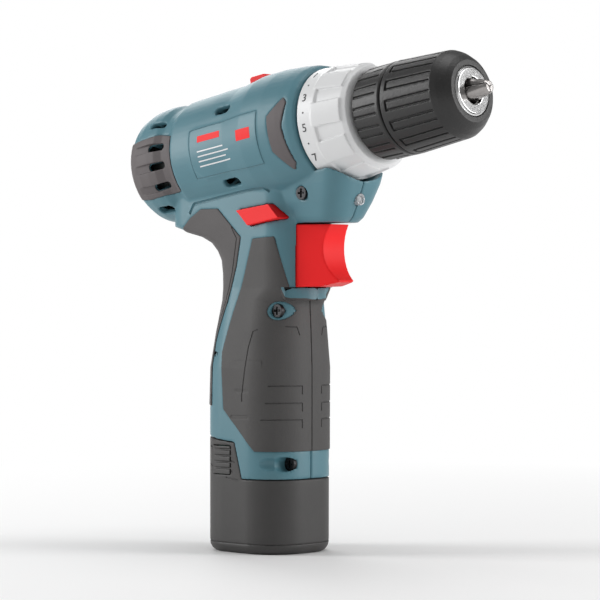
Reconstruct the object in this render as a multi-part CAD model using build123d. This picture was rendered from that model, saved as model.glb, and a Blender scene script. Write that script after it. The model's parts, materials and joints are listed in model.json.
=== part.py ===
from build123d import *
import math
import os

"""Compact 12 V cordless drill driver with a keyless chuck, in millimetres.

The drill stands on the foot of its battery. +X points the way the chuck points, +Z is up, and the
origin is the centre of the foot's flat underside. The barrel has a frame of its own: its x axis is
the spindle's axis, which rises by BARREL_PITCH, and turned pieces are drawn along it.
"""

# ---------------------------------------------------------------- driving sizes: the whole tool
BARREL_HEIGHT = 164.5  # spindle axis above the foot, measured over the origin
BARREL_PITCH = 8.2  # degrees that the barrel points above level
BARREL_REAR = -64.0  # rear end of the motor housing, along the barrel
BARREL_RADIUS = 24.6  # motor housing
COLLAR_RADIUS = 26.8  # swelling round the gearbox
NOSE_RADIUS = 24.2  # where the housing meets the clutch ring
HOUSING_FRONT = 37.0  # along the barrel
WALL = 2.4  # barrel and saddle walls
SEAM_HALF = 0.12  # half the visible gap between the two shells
SEAM_DEPTH = 0.7
RUBBER_DEPTH = 0.5  # how far the moulded-on rubber sinks into the shell
RUBBER_PROUD = 0.35
TRIM_DEPTH = 1.2  # the same for the rear trim
RUNNING = 0.08  # radial clearance of pieces that turn on one another
SLIDING = 0.3  # clearance round trigger, buttons and battery

# ---------------------------------------------------------------- handle
FOOT_REAR = -23.2
FOOT_FRONT = 23.3
FOOT_HALF = 20.7
FOOT_CORNER = 17.0
WAIST_Z = 101.0
WAIST_REAR = -17.8
WAIST_FRONT = 22.3
WAIST_HALF = 17.2
WAIST_CORNER = 14.5
SADDLE_HALF = 16.6
SADDLE_FRONT = 26.4
SHELL_BOTTOM = 30.0  # front lower edge of the housing
SHELL_BOTTOM_REAR = 46.0  # the edge rises behind, over the release buttons
SEAT_GAP = 0.3  # between that edge and the battery

# ---------------------------------------------------------------- controls
TRIGGER_HALF = 9.6
TRIGGER_TRAVEL = 6.0
SELECTOR_TRAVEL = 3.0
SPEED_TRAVEL = 4.0
SCREW_SPOTS = ((31.3, 143.2), (18.2, 96.9), (20.2, 36.0))
SCREW_RADIUS = 1.4
SCREW_HEAD = 2.7
BOSS_RADIUS = 2.6

# ---------------------------------------------------------------- drive train, along the barrel
MOTOR_RADIUS = 17.9
MOTOR_REAR = -56.0
CAN_REAR = -50.0
MOTOR_FRONT = -3.0
CAN_WALL = 1.3
SHAFT_RADIUS = 1.6
GEAR_MODULE = 0.65
SUN_TEETH = 15
PLANET_TEETH = 15
RING_TEETH = SUN_TEETH + 2 * PLANET_TEETH
GEAR_WIDTH = 6.0
PLATE_WIDTH = 2.4
GEAR_GAP = 0.4
STAGE_START = 2.2
STAGE_PITCH = GEAR_WIDTH + PLATE_WIDTH + 2.5 * GEAR_GAP
PIN_RADIUS = 1.4
CASE_RADIUS = 20.6
CASE_WALL = 2.2
CASE_REAR = -0.6
CASE_FRONT = 34.6
SPINDLE_RADIUS = 4.9
NECK_RADIUS = 13.6
NECK_FRONT = 56.6
BEARING_RADIUS = 9.5
BEARING_WIDTH = 6.0

# ---------------------------------------------------------------- clutch ring
CLUTCH_REAR = HOUSING_FRONT + 0.4
CLUTCH_FRONT = 60.4
CLUTCH_RADIUS = 23.3
CLUTCH_NOSE = 21.2
CLUTCH_BORE = 18.3
CLUTCH_PADS = 9
PAD_TURN = 5.5  # where the first pad stands, from the top

# ---------------------------------------------------------------- keyless chuck
CHUCK_REAR = 61.2
CHUCK_SPLIT = 76.4
CHUCK_RADIUS = 18.3
CHUCK_WAIST = 17.1
CHUCK_TAPER = 101.0
CHUCK_FRONT = 107.6
BODY_RADIUS = 12.2
NOSE_BORE = 11.6
NOSE_HOLE = 5.4
NOSE_RING_RADIUS = 9.6
NOSE_RING_FRONT = 108.3
FLUTES = 14
FLUTE_TURN = 16.9  # where the first flute stands, from the top
JAW_RADIUS = 2.7
JAW_ANGLE = 15.5  # degrees between a jaw and the chuck's axis
JAW_TIP = 116.2  # tip of the closed jaws
JAW_TIP_OUT = -0.4  # from the chuck's axis to the jaw's own axis at the tip; negative is past it
JAW_LENGTH = 26.0
JAW_TRAVEL = 18.0  # along the jaw, from closed to fully open
JAW_FACE = 0.16  # gripping faces stay this far from the axis when closed
LIP_REAR = CHUCK_FRONT - 2.4  # rear of the sleeve's front lip
NOSE_FACE = NOSE_RING_FRONT - 2.0  # front of the body, behind the bright ring
NECK_OF_BODY = 7.4  # radius of the groove that the jaws' nut turns in
BODY_REAR = 61.0
COLLAR_SEAT = 64.0
SPINDLE_END = 74.0
JAW_NUT_REAR = 91.0
JAW_NUT_FRONT = 96.6

# ---------------------------------------------------------------- battery
CELL_RADIUS = 9.0
CELL_LENGTH = 65.0
CELL_FLOOR = 5.0
CELL_GAP = 0.1
CELL_PAIR_X = -8.6
TOWER_WALL = 0.6
TOWER_TOP = 76.0
BATTERY_TRAVEL = 80.0
CAP_HEIGHT = 4.0

BARREL = Location((0, 0, BARREL_HEIGHT), (0, -BARREL_PITCH, 0))
FAR = 300.0


# ================================================================ drawing helpers
def turned(points):
    """A solid of revolution about the x axis, from (x, radius) corners."""
    outline = Polyline(*[(x, r, 0) for x, r in points], close=True)
    return revolve(make_face(outline), Axis.X)


def rod(start, end, radius, y=0.0, z=0.0):
    """A cylinder along x, from start to end."""
    upright = Cylinder(radius, end - start, align=(Align.CENTER, Align.CENTER, Align.MIN))
    return Pos(start, y, z) * Rot(0, 90, 0) * upright


def tube(start, end, outer, inner, y=0.0, z=0.0):
    """A plain tube along x."""
    return rod(start, end, outer, y, z) - rod(start - 1, end + 1, inner, y, z)


def cross_rod(x, z, low_y, high_y, radius):
    """A cylinder along y."""
    upright = Cylinder(radius, high_y - low_y, align=(Align.CENTER, Align.CENTER, Align.MIN))
    return Pos(x, low_y, z) * Rot(-90, 0, 0) * upright


def fuse(shapes):
    """One shape from several touching ones."""
    shapes = list(shapes)
    return shapes[0].fuse(*shapes[1:]) if len(shapes) > 1 else shapes[0]


def around(shape, count, first=0.0):
    """Copies of a shape turned about the x axis, evenly spaced."""
    return [Rot(first + 360.0 * k / count, 0, 0) * shape for k in range(count)]


def side_prism(points, low_y, high_y):
    """A prism along y from (x, z) corners, between two y planes."""
    face = make_face(Polyline(*[(x, low_y, z) for x, z in points], close=True))
    return extrude(face, high_y - low_y, dir=(0, 1, 0))


def slab(low, high):
    """A box from its lowest to its highest corner."""
    size = [b - a for a, b in zip(low, high)]
    centre = [(a + b) / 2 for a, b in zip(low, high)]
    return Pos(*centre) * Box(*size)


def level_section(z, rear, front, half, corner):
    """A rounded rectangle lying level at height z."""
    sketch = RectangleRounded(front - rear, 2 * half, min(corner, half - 0.05, (front - rear) / 2 - 0.05))
    return Pos((rear + front) / 2, 0, z) * sketch


def tower(sections, ruled=True):
    """A solid through level sections, each (z, rear, front, half width, corner radius)."""
    return loft([level_section(*section).face() for section in sections], ruled=ruled)


def on_barrel(t, degrees, height):
    """A location on the barrel: its x along the barrel, its z pointing outwards at that angle."""
    return Rot(degrees, 0, 0) * Pos(t, -height, 0) * Rot(90, 0, 0)


def right_half(shape):
    """The part of a shape at negative y."""
    return shape & slab((-FAR, -FAR, -FAR), (FAR, 0, FAR))


def left_twin(shape):
    """The mirror image of a right-hand shape."""
    return mirror(shape, about=Plane.XZ)


def compound_of(shapes):
    """Separate solids kept together as one group."""
    return Compound(children=[s for shape in shapes for s in shape.solids()])


# ================================================================ outer form
def barrel_form(grow=0.0):
    """The housing's barrel, with its surface moved outwards by grow."""
    rear = BARREL_REAR - grow
    front = HOUSING_FRONT + min(grow, 0.0)
    base = BARREL_RADIUS + grow
    collar = COLLAR_RADIUS + grow
    outline = [
        (rear, 0), (rear, base - 11.5), (rear + 0.8, base - 7.8), (rear + 3.0, base - 4.4),
        (rear + 6.5, base - 1.9), (rear + 11.5, base - 0.5), (-47.0, base), (-43.0, base - 0.2),
        (-39.5, base - 1.5), (-35.8, base - 1.5), (-32.5, base), (-12.0, base + 0.5),
        (-2.0, base + 0.6), (9.5, collar), (20.0, collar), (29.0, collar - 0.8),
        (34.0, collar - 1.5), (front, NOSE_RADIUS + grow), (front, 0),
    ]
    return BARREL * turned(outline)


def handle_form(grow=0.0):
    """Handle and saddle, with the sides moved outwards by grow; the thin shelf is left out of deep insets."""
    g = grow
    sections = [
        (0.0, FOOT_REAR - g, FOOT_FRONT + g, FOOT_HALF + g, FOOT_CORNER + g),
        (58.0, FOOT_REAR - g, FOOT_FRONT + 0.2 + g, FOOT_HALF + g, FOOT_CORNER + g),
        (74.0, FOOT_REAR + 0.7 - g, FOOT_FRONT + 0.2 + g, FOOT_HALF - 0.2 + g, FOOT_CORNER - 0.5 + g),
        (88.0, -20.4 - g, 23.0 + g, 19.0 + g, 15.8 + g),
        (WAIST_Z, WAIST_REAR - g, WAIST_FRONT + g, WAIST_HALF + g, WAIST_CORNER + g),
    ]
    rear_line = ((106.0, -17.3), (112.0, -17.4), (117.5, -18.2), (121.5, -20.4), (124.8, -23.8),
                 (127.3, -29.5), (129.2, -38.0), (131.5, -46.0), (148.0, -46.0))
    for z, rear in rear_line:
        level = z - 0.8 * g if z > 118 else z
        sections.append((level, rear - g, SADDLE_FRONT + g, SADDLE_HALF + g, 13.5 + g))
    if g < -0.8:
        return tower(sections)
    shelf = [
        (WAIST_Z + 0.4 - g, 0.0, 27.5 + g, 11.5 + g, 9.0),
        (WAIST_Z + 1.6 - g, 0.0, 31.2 + g, 12.6 + g, 9.5),
        (WAIST_Z + 3.4 - g, 0.0, 33.2 + g, 13.2 + g, 10.0),
        (WAIST_Z + 4.9 + min(g, 0), 0.0, 33.4 + g, 13.2 + g, 10.0),
    ]
    return tower(sections).fuse(tower(shelf))


def chin_form(grow=0.0):
    """The lip under the clutch ring, above the trigger."""
    g = grow
    sections = [
        (131.8 - g, 10.0, 43.8 + g, 9.8 + g, 7.5), (133.8 - g, 10.0, 46.0 + g, 11.0 + g, 8.0),
        (140.0, 10.0, 49.0 + g, 13.2 + g, 8.5), (147.0, 10.0, 51.8 + g, 15.0 + g, 9.0),
        (153.0, 10.0, 53.0 + g, 16.0 + g, 9.0),
    ]
    swept = BARREL * rod(HOUSING_FRONT - 20, HOUSING_FRONT + 40, CLUTCH_RADIUS + 0.6 - g)
    return tower(sections) - swept


def trigger_pocket():
    """Room for the trigger, its stroke and its skirt."""
    return slab((10.0, -TRIGGER_HALF - SLIDING, 105.9), (60.0, TRIGGER_HALF + SLIDING, 131.6))


# ================================================================ the two shells
def cell_hull(radius, low, high):
    """A prism round the three cells."""
    rings = [edge for x, y in cell_spots() for edge in (Pos(x, y, 0) * Circle(radius)).edges()]
    return Pos(0, 0, low) * extrude(make_hull(rings), high - low)


def cell_spots():
    """Centres of the three cells: a pair behind and one in front."""
    pitch = 2 * CELL_RADIUS + CELL_GAP
    front = CELL_PAIR_X + pitch * math.cos(math.radians(30))
    return ((CELL_PAIR_X, pitch / 2), (CELL_PAIR_X, -pitch / 2), (front, 0.0))


def lower_edge(drop=0.0):
    """Everything below the housing's lower edge, which steps up behind the release buttons."""
    front, rear = SHELL_BOTTOM - drop, SHELL_BOTTOM_REAR - drop
    points = [(60, -40), (60, front), (4.5, front), (0.4, rear - 1.6), (-40, rear + 2.4), (-40, -40)]
    return side_prism(points, -60, 60)


def seam_groove():
    """The fine line that shows where the two shells meet: only the skin is cut back."""
    outer = slab((-FAR, -SEAM_HALF, -FAR), (FAR, SEAM_HALF, FAR))
    skin = housing_form(0.0) - housing_form(-SEAM_DEPTH)
    return skin & outer


def housing_form(grow=0.0):
    """Barrel, handle and chin together."""
    return barrel_form(grow).fuse(handle_form(grow), chin_form(grow))


def housing_cavity():
    """The space inside the two shells."""
    barrel = barrel_form(-WALL)
    mouth = BARREL * rod(HOUSING_FRONT - 6, HOUSING_FRONT + 6, CASE_RADIUS)
    upper = handle_form(-1.8) & slab((-FAR, -FAR, TOWER_TOP + 6.5), (FAR, FAR, FAR))
    well = cell_hull(CELL_RADIUS + TOWER_WALL + 0.25, -1, TOWER_TOP + 4.5)
    return barrel.fuse(mouth, upper, well, chin_form(-WALL))


def cradle_ribs():
    """Ribs that hold the motor, the gear case, the switch and the contact block."""
    ribs = []
    for t, radius in ((-46.0, MOTOR_RADIUS), (-28.0, MOTOR_RADIUS), (-8.0, MOTOR_RADIUS),
                      (3.0, CASE_RADIUS), (24.0, CASE_RADIUS), (32.0, CASE_RADIUS)):
        ribs.append(BARREL * tube(t, t + 1.8, BARREL_RADIUS - WALL + 1.2, radius))
    for side in (-1, 1):
        near, far = sorted((8.0 * side, 17.0 * side))
        ribs.append(slab((-12.0, near, 103.2), (10.0, far, 105.0)))
        ribs.append(slab((-12.0, near, 128.0), (10.0, far, 129.8)))
    return fuse(ribs)


def screw_boss(x, z):
    """A post through both shells for one screw."""
    half = 17.5 if z > 60 else 16.0
    return cross_rod(x, z, -half, half, BOSS_RADIUS)


def screw_hole(x, z):
    """A stepped hole: open and wide on the right for the head, blind on the left."""
    head_at = screw_head_y(x, z)
    wide = cross_rod(x, z, -40, head_at, SCREW_HEAD + 0.15)
    narrow = cross_rod(x, z, head_at - 1, head_at + 15.0, SCREW_RADIUS)
    return wide.fuse(narrow)


def screw_head_y(x, z):
    """Seat of the screw's head: deeper where the shell curves away."""
    return -7.6 if z < 60 else -12.6


VENT_SPOTS = (
    # along the barrel, degrees above the right side, length, height
    (-3.8, 33.0, 8.8, 3.8), (-44.0, 39.0, 8.0, 3.2), (-4.0, -39.5, 9.2, 3.8), (-48.0, -53.0, 8.6, 4.0),
)


def vent_slots():
    """Air slots through both flanks of the barrel."""
    slots = []
    for t, degrees, length, height in VENT_SPOTS:
        cutter = extrude(SlotOverall(length, height), 12, both=True)
        slots.append(BARREL * on_barrel(t, -degrees, BARREL_RADIUS) * cutter)
    right = fuse(slots)
    return right.fuse(left_twin(right))


TRIM_SLOTS = (13.0, -6.0, -27.0)


def trim_slots(depth_low, depth_high):
    """The three long slots in the rear trim; the front half of each opens into the motor bay."""
    slots = []
    for degrees in TRIM_SLOTS:
        outline = SlotOverall(20.0, 3.4)
        block = extrude(Pos(0, 0, depth_low) * outline, depth_high - depth_low)
        slots.append(BARREL * on_barrel(-47.6, -degrees, BARREL_RADIUS) * block)
    return fuse(slots)


def trim_vents():
    """Openings at the front of each trim slot, right through the shell."""
    slots = []
    for degrees in TRIM_SLOTS:
        block = extrude(SlotOverall(9.0, 3.0), 8, both=True)
        slots.append(BARREL * on_barrel(-42.4, -degrees, BARREL_RADIUS) * block)
    return fuse(slots)


def selector_outline(grow):
    """Side outline of the direction selector's button."""
    g = grow
    return [(-0.9 - g, 137.1 + g), (17.1 + 0.3 * g, 139.2 + g), (22.8 + g, 133.6), (5.6 - 0.3 * g, 130.9 - g)]


def speed_track():
    """The sunken track of the speed selector on top of the barrel."""
    track = slab((-9.4, -5.2, 23.9), (8.2, 5.2, 40.0))
    window = slab((-7.6, -3.4, 18.0), (5.4, 3.4, 40.0))
    channel = slab((-7.6, -2.2, 20.0), (22.0, 2.2, 23.2))
    return BARREL * fuse([track, window, channel])


def lamp_hole(grow=0.0):
    """Seat of the work light in the chin's front."""
    return Pos(0, 0, 140.6) * rod(38.0, 60.0, 2.3 + grow)


def grip_region():
    """Side outline of the rubber grip."""
    points = [(6.8, 125.7), (17.9, 126.4), (20.4, 116.8), (22.9, 106.4), (24.4, 103.9), (26.5, 101.2), (40, 101.2),
              (40, 41.0), (11.1, 41.0), (4.7, 47.6), (-5.6, 57.4), (-7.2, 80.2), (-2.7, 96.4), (1.9, 110.2)]
    return side_prism(points, -60, -SEAM_HALF)


def backstrap_region():
    """Side outline of the textured panel behind."""
    points = [(0.1, 126.4), (-2.2, 114.8), (-7.4, 99.6), (-13.4, 84.7), (-14.4, 77.2), (-14.2, 58.5), (-60, 61.0),
              (-60, 120.0), (-40.0, 124.5), (-29.0, 134.6), (-22.7, 138.2), (-13.0, 138.2)]
    return side_prism(points, -60, -SEAM_HALF)


def handle_skin(proud, depth):
    """The layer in which the handle's rubber lies."""
    return handle_form(proud) - handle_form(-depth)


def right_grip():
    """The rubber grip of the right shell, with its sunken finger bars."""
    skin = grip_region() & handle_skin(RUBBER_PROUD, RUBBER_DEPTH)
    bars = [slab((-1.0 + 2.4 * k, -60, z), (15.0, -19.4, z + 1.0)) for k, z in enumerate((54.0, 64.5, 75.0))]
    hole = cross_rod(*SCREW_SPOTS[1], -60, 0, SCREW_HEAD + 1.0)
    return biggest(skin - fuse(bars) - hole)


def right_backstrap():
    """The textured panel on the right shell's back."""
    outline = handle_skin(RUBBER_PROUD, RUBBER_DEPTH) - barrel_form(RUBBER_PROUD + 0.1)
    return biggest(backstrap_region() & outline)


def right_vent_trim():
    """The dark trim round the rear vents."""
    points = [(-33.5, 8.6), (-41.0, 10.4), (-59.5, 9.6), (-59.5, -13.4), (-52.0, -14.6), (-33.5, -14.0)]
    region = BARREL * side_prism(points, -60, -10)
    skin = barrel_form(RUBBER_PROUD) - barrel_form(-TRIM_DEPTH)
    return biggest(region & skin) - trim_slots(-0.9, 5.0) - trim_vents()


def right_nose_pad():
    """The rubber pad that guards the collar's right side."""
    points = [(24.6, 5.0), (31.9, 11.4), (33.6, 9.0), (31.4, 0.0), (33.0, -14.5), (30.8, -17.0), (25.0, -9.0)]
    region = BARREL * side_prism(points, -60, -10)
    skin = barrel_form(RUBBER_PROUD) - barrel_form(-TRIM_DEPTH)
    return biggest(region & skin)


def biggest(shape):
    """The largest solid of a cut, leaving shavings behind."""
    return max(shape.solids(), key=lambda solid: solid.volume)


def label_panel():
    """The raised plain panel on the right flank of the barrel."""
    points = [(-21.0, 7.6), (-18.0, 8.4), (19.0, 8.4), (19.0, -12.6), (-16.0, -12.6), (-21.0, -7.6)]
    return BARREL * side_prism(points, -60, -10) & (barrel_form(0.3) - barrel_form(-0.4))


def shell_block():
    """Both shells as one, hollowed and cut, before they are split."""
    body = housing_form() - housing_cavity()
    room = housing_form(-0.6)
    posts = fuse([screw_boss(x, z) for x, z in SCREW_SPOTS])
    body = body.fuse((cradle_ribs() & room), (posts & room))
    return body


def housing_cuts():
    """Everything cut out of both shells."""
    bar = side_prism(selector_outline(SLIDING), -60, 60)
    motor = BARREL * rod(MOTOR_REAR, MOTOR_FRONT, MOTOR_RADIUS)
    case = BARREL * rod(MOTOR_FRONT, HOUSING_FRONT + 3, CASE_RADIUS)
    parts = [bar, motor, case, vent_slots(), speed_track(), lamp_hole(), trigger_pocket(),
             lower_edge(), contact_block_form(), seam_groove(), switch_form()]
    return parts + [screw_hole(x, z) for x, z in SCREW_SPOTS]


def housings(right_skins):
    """Right and left shells, given the rubber already laid into the right one."""
    body = shell_block()
    for cut in housing_cuts():
        body = body - cut
    left_skins = [left_twin(skin) for skin in right_skins]
    trims = [trim_vents(), left_twin(trim_vents())]
    body = body - trims[0] - trims[1] - trim_slots(-2.0, 0.0) - left_twin(trim_slots(-2.0, 0.0))
    for skin in list(right_skins) + left_skins:
        body = body - skin
    body = body.fuse(label_panel() & body_zone())
    right = biggest(right_half(body))
    left = biggest(body & slab((-FAR, 0, -FAR), (FAR, FAR, FAR)))
    return right, left


def body_zone():
    """Where the label panel may add to the right shell."""
    return slab((-FAR, -FAR, -FAR), (FAR, -1, FAR))


# ================================================================ controls
def switch_form():
    """The speed-control switch behind the trigger."""
    return slab((-12.0, -9.0, 105.0), (13.4, 9.0, 128.0))


def switch_body():
    """The switch with the stem that its trigger runs on."""
    box = softened_box((-12.0, -9.0, 105.0), (13.4, 9.0, 128.0), 1.0)
    stem = slab((12.0, -2.6, 112.0), (25.6, 2.6, 122.0))
    prongs = [slab((-10.0 + 5 * k, -6.0, 102.0), (-8.4 + 5 * k, -5.0, 106.0)) for k in range(3)]
    return fuse([box, stem] + prongs)


def softened_box(low, high, radius):
    """A box with its upright edges rounded."""
    block = slab(low, high)
    return fillet(block.edges().filter_by(Axis.Z), radius)


def trigger():
    """The trigger: a finger face, a hollow skirt and a socket for the switch's stem."""
    half = TRIGGER_HALF
    hollow_front = [(44.4, 131.1), (42.2, 129.2), (40.7, 126.4), (40.2, 122.0), (40.6, 118.0), (41.5, 114.6),
                    (42.8, 111.6), (43.5, 109.6)]
    finger = Spline(*[(x, -half, z) for x, z in hollow_front])
    rest = Polyline(*[(x, -half, z) for x, z in ((43.5, 109.6), (41.8, 108.1), (34.5, 106.6), (22.0, 106.3),
                                                 (22.0, 131.2), (44.4, 131.1))])
    face = extrude(make_face(finger.edges() + rest.edges()), 2 * half, dir=(0, 1, 0))
    front = face.edges().filter_by(lambda e: e.center().X > 38 and abs(abs(e.center().Y) - half) < 0.01)
    face = fillet(front.sort_by(lambda e: e.length)[-2:], 1.6)
    hollow = slab((12.0, -TRIGGER_HALF + 1.6, 108.0), (34.0, TRIGGER_HALF - 1.6, 129.6))
    post = slab((24.0, -4.2, 110.2), (36.0, 4.2, 123.8)) - slab((20.0, -2.9, 111.7), (32.4, 2.9, 122.3))
    side_step = side_prism([(34.4, 140), (33.4, 126), (33.6, 118), (36.0, 109.5), (38.0, 100), (60, 100), (60, 140)],
                           TRIGGER_HALF - 1.0, 60)
    return (face - hollow).fuse(post) - side_step - left_twin(side_step)


def direction_selector():
    """The reversing bar, which shows as a red button on either side."""
    button = side_prism(selector_outline(0.0), -SADDLE_HALF - 1.9, SADDLE_HALF + 1.9)
    middle = side_prism([(4.0, 137.6), (18.0, 138.6), (18.0, 134.4), (4.0, 133.6)], -30, 30)
    keep = slab((-FAR, -11.5, -FAR), (FAR, 11.5, FAR))
    tongue = slab((11.4, -2.0, 128.3), (13.2, 2.0, 135.0))
    return button - (keep - middle) + tongue


def speed_selector():
    """The red gear-change button on top, with its shoe."""
    cap = [(-2.9, 24.6), (-2.9, 27.2), (-1.9, 27.8), (5.0, 27.8), (6.2, 27.0), (6.2, 24.6)]
    button = side_prism(cap, -4.4, 4.4)
    plate = slab((-4.6, -4.6, 24.2), (7.6, 4.6, 25.1))
    shoe = slab((-3.0, -2.6, 22.6), (4.6, 2.6, 25.0))
    return BARREL * button.fuse(plate, shoe)


WIRE_T = STAGE_START + STAGE_PITCH + GEAR_WIDTH - 1.4


def shift_wire():
    """The wire bow that carries the middle ring gear along with the speed selector."""
    radius = CASE_RADIUS + 1.1
    bow = tube(WIRE_T - 0.6, WIRE_T + 0.6, radius + 0.6, radius - 0.6)
    bow = bow & slab((-FAR, -FAR, 0), (FAR, FAR, FAR))
    tips = [slab((WIRE_T - 0.6, s - 2.35, -0.6), (WIRE_T + 0.6, s + 2.35, 0.6)) for s in (-19.6, 19.6)]
    lug = slab((0.0, -1.5, 21.0), (WIRE_T + 0.6, 1.5, 22.4))
    hook = slab((0.0, -1.5, 21.0), (3.0, 1.5, 22.6))
    return BARREL * fuse([bow, lug, hook] + tips)


def work_light():
    """The small lamp in the chin."""
    lens = rod(43.0, 50.2, 2.3) - rod(49.6, 52, 1.5)
    collar = rod(43.0, 45.0, 2.3)
    return Pos(0, 0, 140.6) * lens.fuse(collar)


def housing_screws():
    """The pan-head screws that hold the two shells together."""
    screws = []
    for x, z in SCREW_SPOTS:
        seat = screw_head_y(x, z)
        head = cross_rod(x, z, seat - 1.8, seat, SCREW_HEAD)
        shank = cross_rod(x, z, seat, seat + 14.5, SCREW_RADIUS)
        cross = slab((x - 1.7, seat - 2, z - 0.35), (x + 1.7, seat - 0.9, z + 0.35))
        cross = cross.fuse(slab((x - 0.35, seat - 2, z - 1.7), (x + 0.35, seat - 0.9, z + 1.7)))
        screws.append(head.fuse(shank) - cross)
    return compound_of(screws)


# ================================================================ motor, along the barrel
def motor_can():
    """Drawn steel can, closed at the front round the pinion's bush."""
    shell = tube(CAN_REAR, MOTOR_FRONT, MOTOR_RADIUS, MOTOR_RADIUS - CAN_WALL)
    front = tube(MOTOR_FRONT - 1.6, MOTOR_FRONT, MOTOR_RADIUS - CAN_WALL / 2, SHAFT_RADIUS + RUNNING)
    slots = [Rot(60.0 * k, 0, 0) * slab((MOTOR_FRONT - 3, -2.0, 7.0), (MOTOR_FRONT + 1, 2.0, 13.0)) for k in range(6)]
    return BARREL * (shell.fuse(front) - fuse(slots))


def motor_magnets():
    """Two curved magnets inside the can."""
    ring = tube(-44.0, -12.0, MOTOR_RADIUS - CAN_WALL, MOTOR_RADIUS - CAN_WALL - 3.2)
    gap = slab((-60, -4.5, -30), (0, 4.5, 30))
    return BARREL * compound_of([ring - gap])


def motor_end_cap():
    """Moulded cap that carries the rear bush and the brushes."""
    cup = rod(MOTOR_REAR, CAN_REAR, MOTOR_RADIUS) - rod(MOTOR_REAR + 1.8, CAN_REAR + 1, MOTOR_RADIUS - 2.0)
    hub = rod(MOTOR_REAR, MOTOR_REAR + 2.4, 4.4)
    guides = slab((MOTOR_REAR + 1.0, -15.9, -3.2), (CAN_REAR, 15.9, 3.2)) - rod(-60, -40, 6.2)
    bore = rod(-60, -40, SHAFT_RADIUS + RUNNING)
    return BARREL * (cup.fuse(hub, guides) - bore - brush_form(0.0))


def brush_form(grow):
    """The two brushes' blocks, either side of the commutator."""
    near = COMMUTATOR_RADIUS + RUNNING
    return slab((-53.2, near, -2.0 - grow), (-50.6, 10.6, 2.0 + grow)).fuse(
        slab((-53.2, -10.6, -2.0 - grow), (-50.6, -near, 2.0 + grow)))


COMMUTATOR_RADIUS = 4.6


def motor_brushes():
    """Two carbon brushes."""
    return BARREL * compound_of([brush_form(0.0)])


def motor_shaft():
    """The rotor's shaft."""
    return BARREL * rod(MOTOR_REAR - 1.2, STAGE_START + GEAR_WIDTH, SHAFT_RADIUS)


def armature():
    """Slotted iron core with the two end turns of its winding."""
    core = rod(-42.0, -14.0, 12.6) - rod(-60, 0, SHAFT_RADIUS)
    slots = [Rot(72.0 * k, 0, 0) * slab((-50, -1.1, 5.0), (0, 1.1, 14.0)) for k in range(5)]
    core = core - fuse(slots)
    coils = [tube(-46.0, -42.0, 10.4, SHAFT_RADIUS + 1.4), tube(-14.0, -10.4, 10.4, SHAFT_RADIUS + 1.4)]
    return BARREL * compound_of([core] + coils)


def commutator():
    """Copper commutator with its slits."""
    drum = tube(-53.6, -46.0, COMMUTATOR_RADIUS, SHAFT_RADIUS)
    slits = [Rot(72.0 * k + 36, 0, 0) * slab((-60, -0.25, 3.6), (-46.8, 0.25, 6.0)) for k in range(5)]
    return BARREL * (drum - fuse(slits))


def cooling_fan():
    """Radial fan inside the can's front."""
    hub = tube(-9.6, -5.2, 4.0, SHAFT_RADIUS)
    disc = tube(-6.2, -5.2, 12.6, SHAFT_RADIUS)
    blade = slab((-9.6, -0.5, 3.4), (-5.4, 0.5, 12.4))
    return BARREL * fuse([hub, disc] + around(blade, 9))


def gear_outline(teeth, slack, inside=False):
    """Corners of a spur gear's outline; the first tooth is centred on the z axis."""
    pitch = GEAR_MODULE * teeth / 2
    base = pitch * math.cos(math.radians(20))
    tip = pitch + (1.1 if inside else 0.8) * GEAR_MODULE
    root = pitch - (0.8 if inside else 1.1) * GEAR_MODULE
    half_at_pitch = math.pi / (2 * teeth) - slack / (2 * pitch)

    def flank(radius):
        """Angle of the flank from the tooth's centre at a radius."""
        lean = math.acos(min(1.0, base / max(radius, base)))
        roll = math.tan(lean) - lean
        start = math.tan(math.radians(20)) - math.radians(20)
        return half_at_pitch + start - roll

    low = max(root, base)
    radii = [low + (tip - low) * k / 4 for k in range(5)]
    corners = []
    for tooth in range(teeth):
        centre = 2 * math.pi * tooth / teeth
        rise = [(r, centre - flank(r)) for r in radii]
        fall = [(r, centre + flank(r)) for r in reversed(radii)]
        step = [(root, rise[0][1])] if root < low else []
        close = [(root, fall[-1][1])] if root < low else []
        corners += step + rise + fall + close
    return [(r * math.sin(a), r * math.cos(a)) for r, a in corners]


def gear_prism(start, end, teeth, slack, inside=False):
    """A spur gear, or the hole of a ring gear, standing along x."""
    corners = [(start, y, z) for y, z in gear_outline(teeth, slack, inside)]
    return extrude(make_face(Polyline(*corners, close=True)), end - start, dir=(1, 0, 0))


BACKLASH = 0.08


def stage_start(stage):
    """Where a stage's gears begin."""
    return STAGE_START + stage * STAGE_PITCH


def motor_pinion():
    """First sun gear, pressed on the motor's shaft."""
    start = stage_start(0)
    return BARREL * (gear_prism(start, start + GEAR_WIDTH, SUN_TEETH, BACKLASH) - rod(-5, 20, SHAFT_RADIUS))


def ring_gear(start, end, outer):
    """A ring gear with a gap centred on the z axis."""
    hole = gear_prism(start - 1, end + 1, RING_TEETH, -BACKLASH, inside=True)
    return rod(start, end, outer) - hole


PLANET_ORBIT = GEAR_MODULE * (SUN_TEETH + PLANET_TEETH) / 2


def planet(stage):
    """One planet of a stage, over the sun, before it is turned to its place."""
    start = stage_start(stage)
    wheel = gear_prism(start, start + GEAR_WIDTH, PLANET_TEETH, BACKLASH) - rod(-5, 60, PIN_RADIUS + RUNNING)
    return Pos(0, 0, PLANET_ORBIT) * wheel


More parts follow.
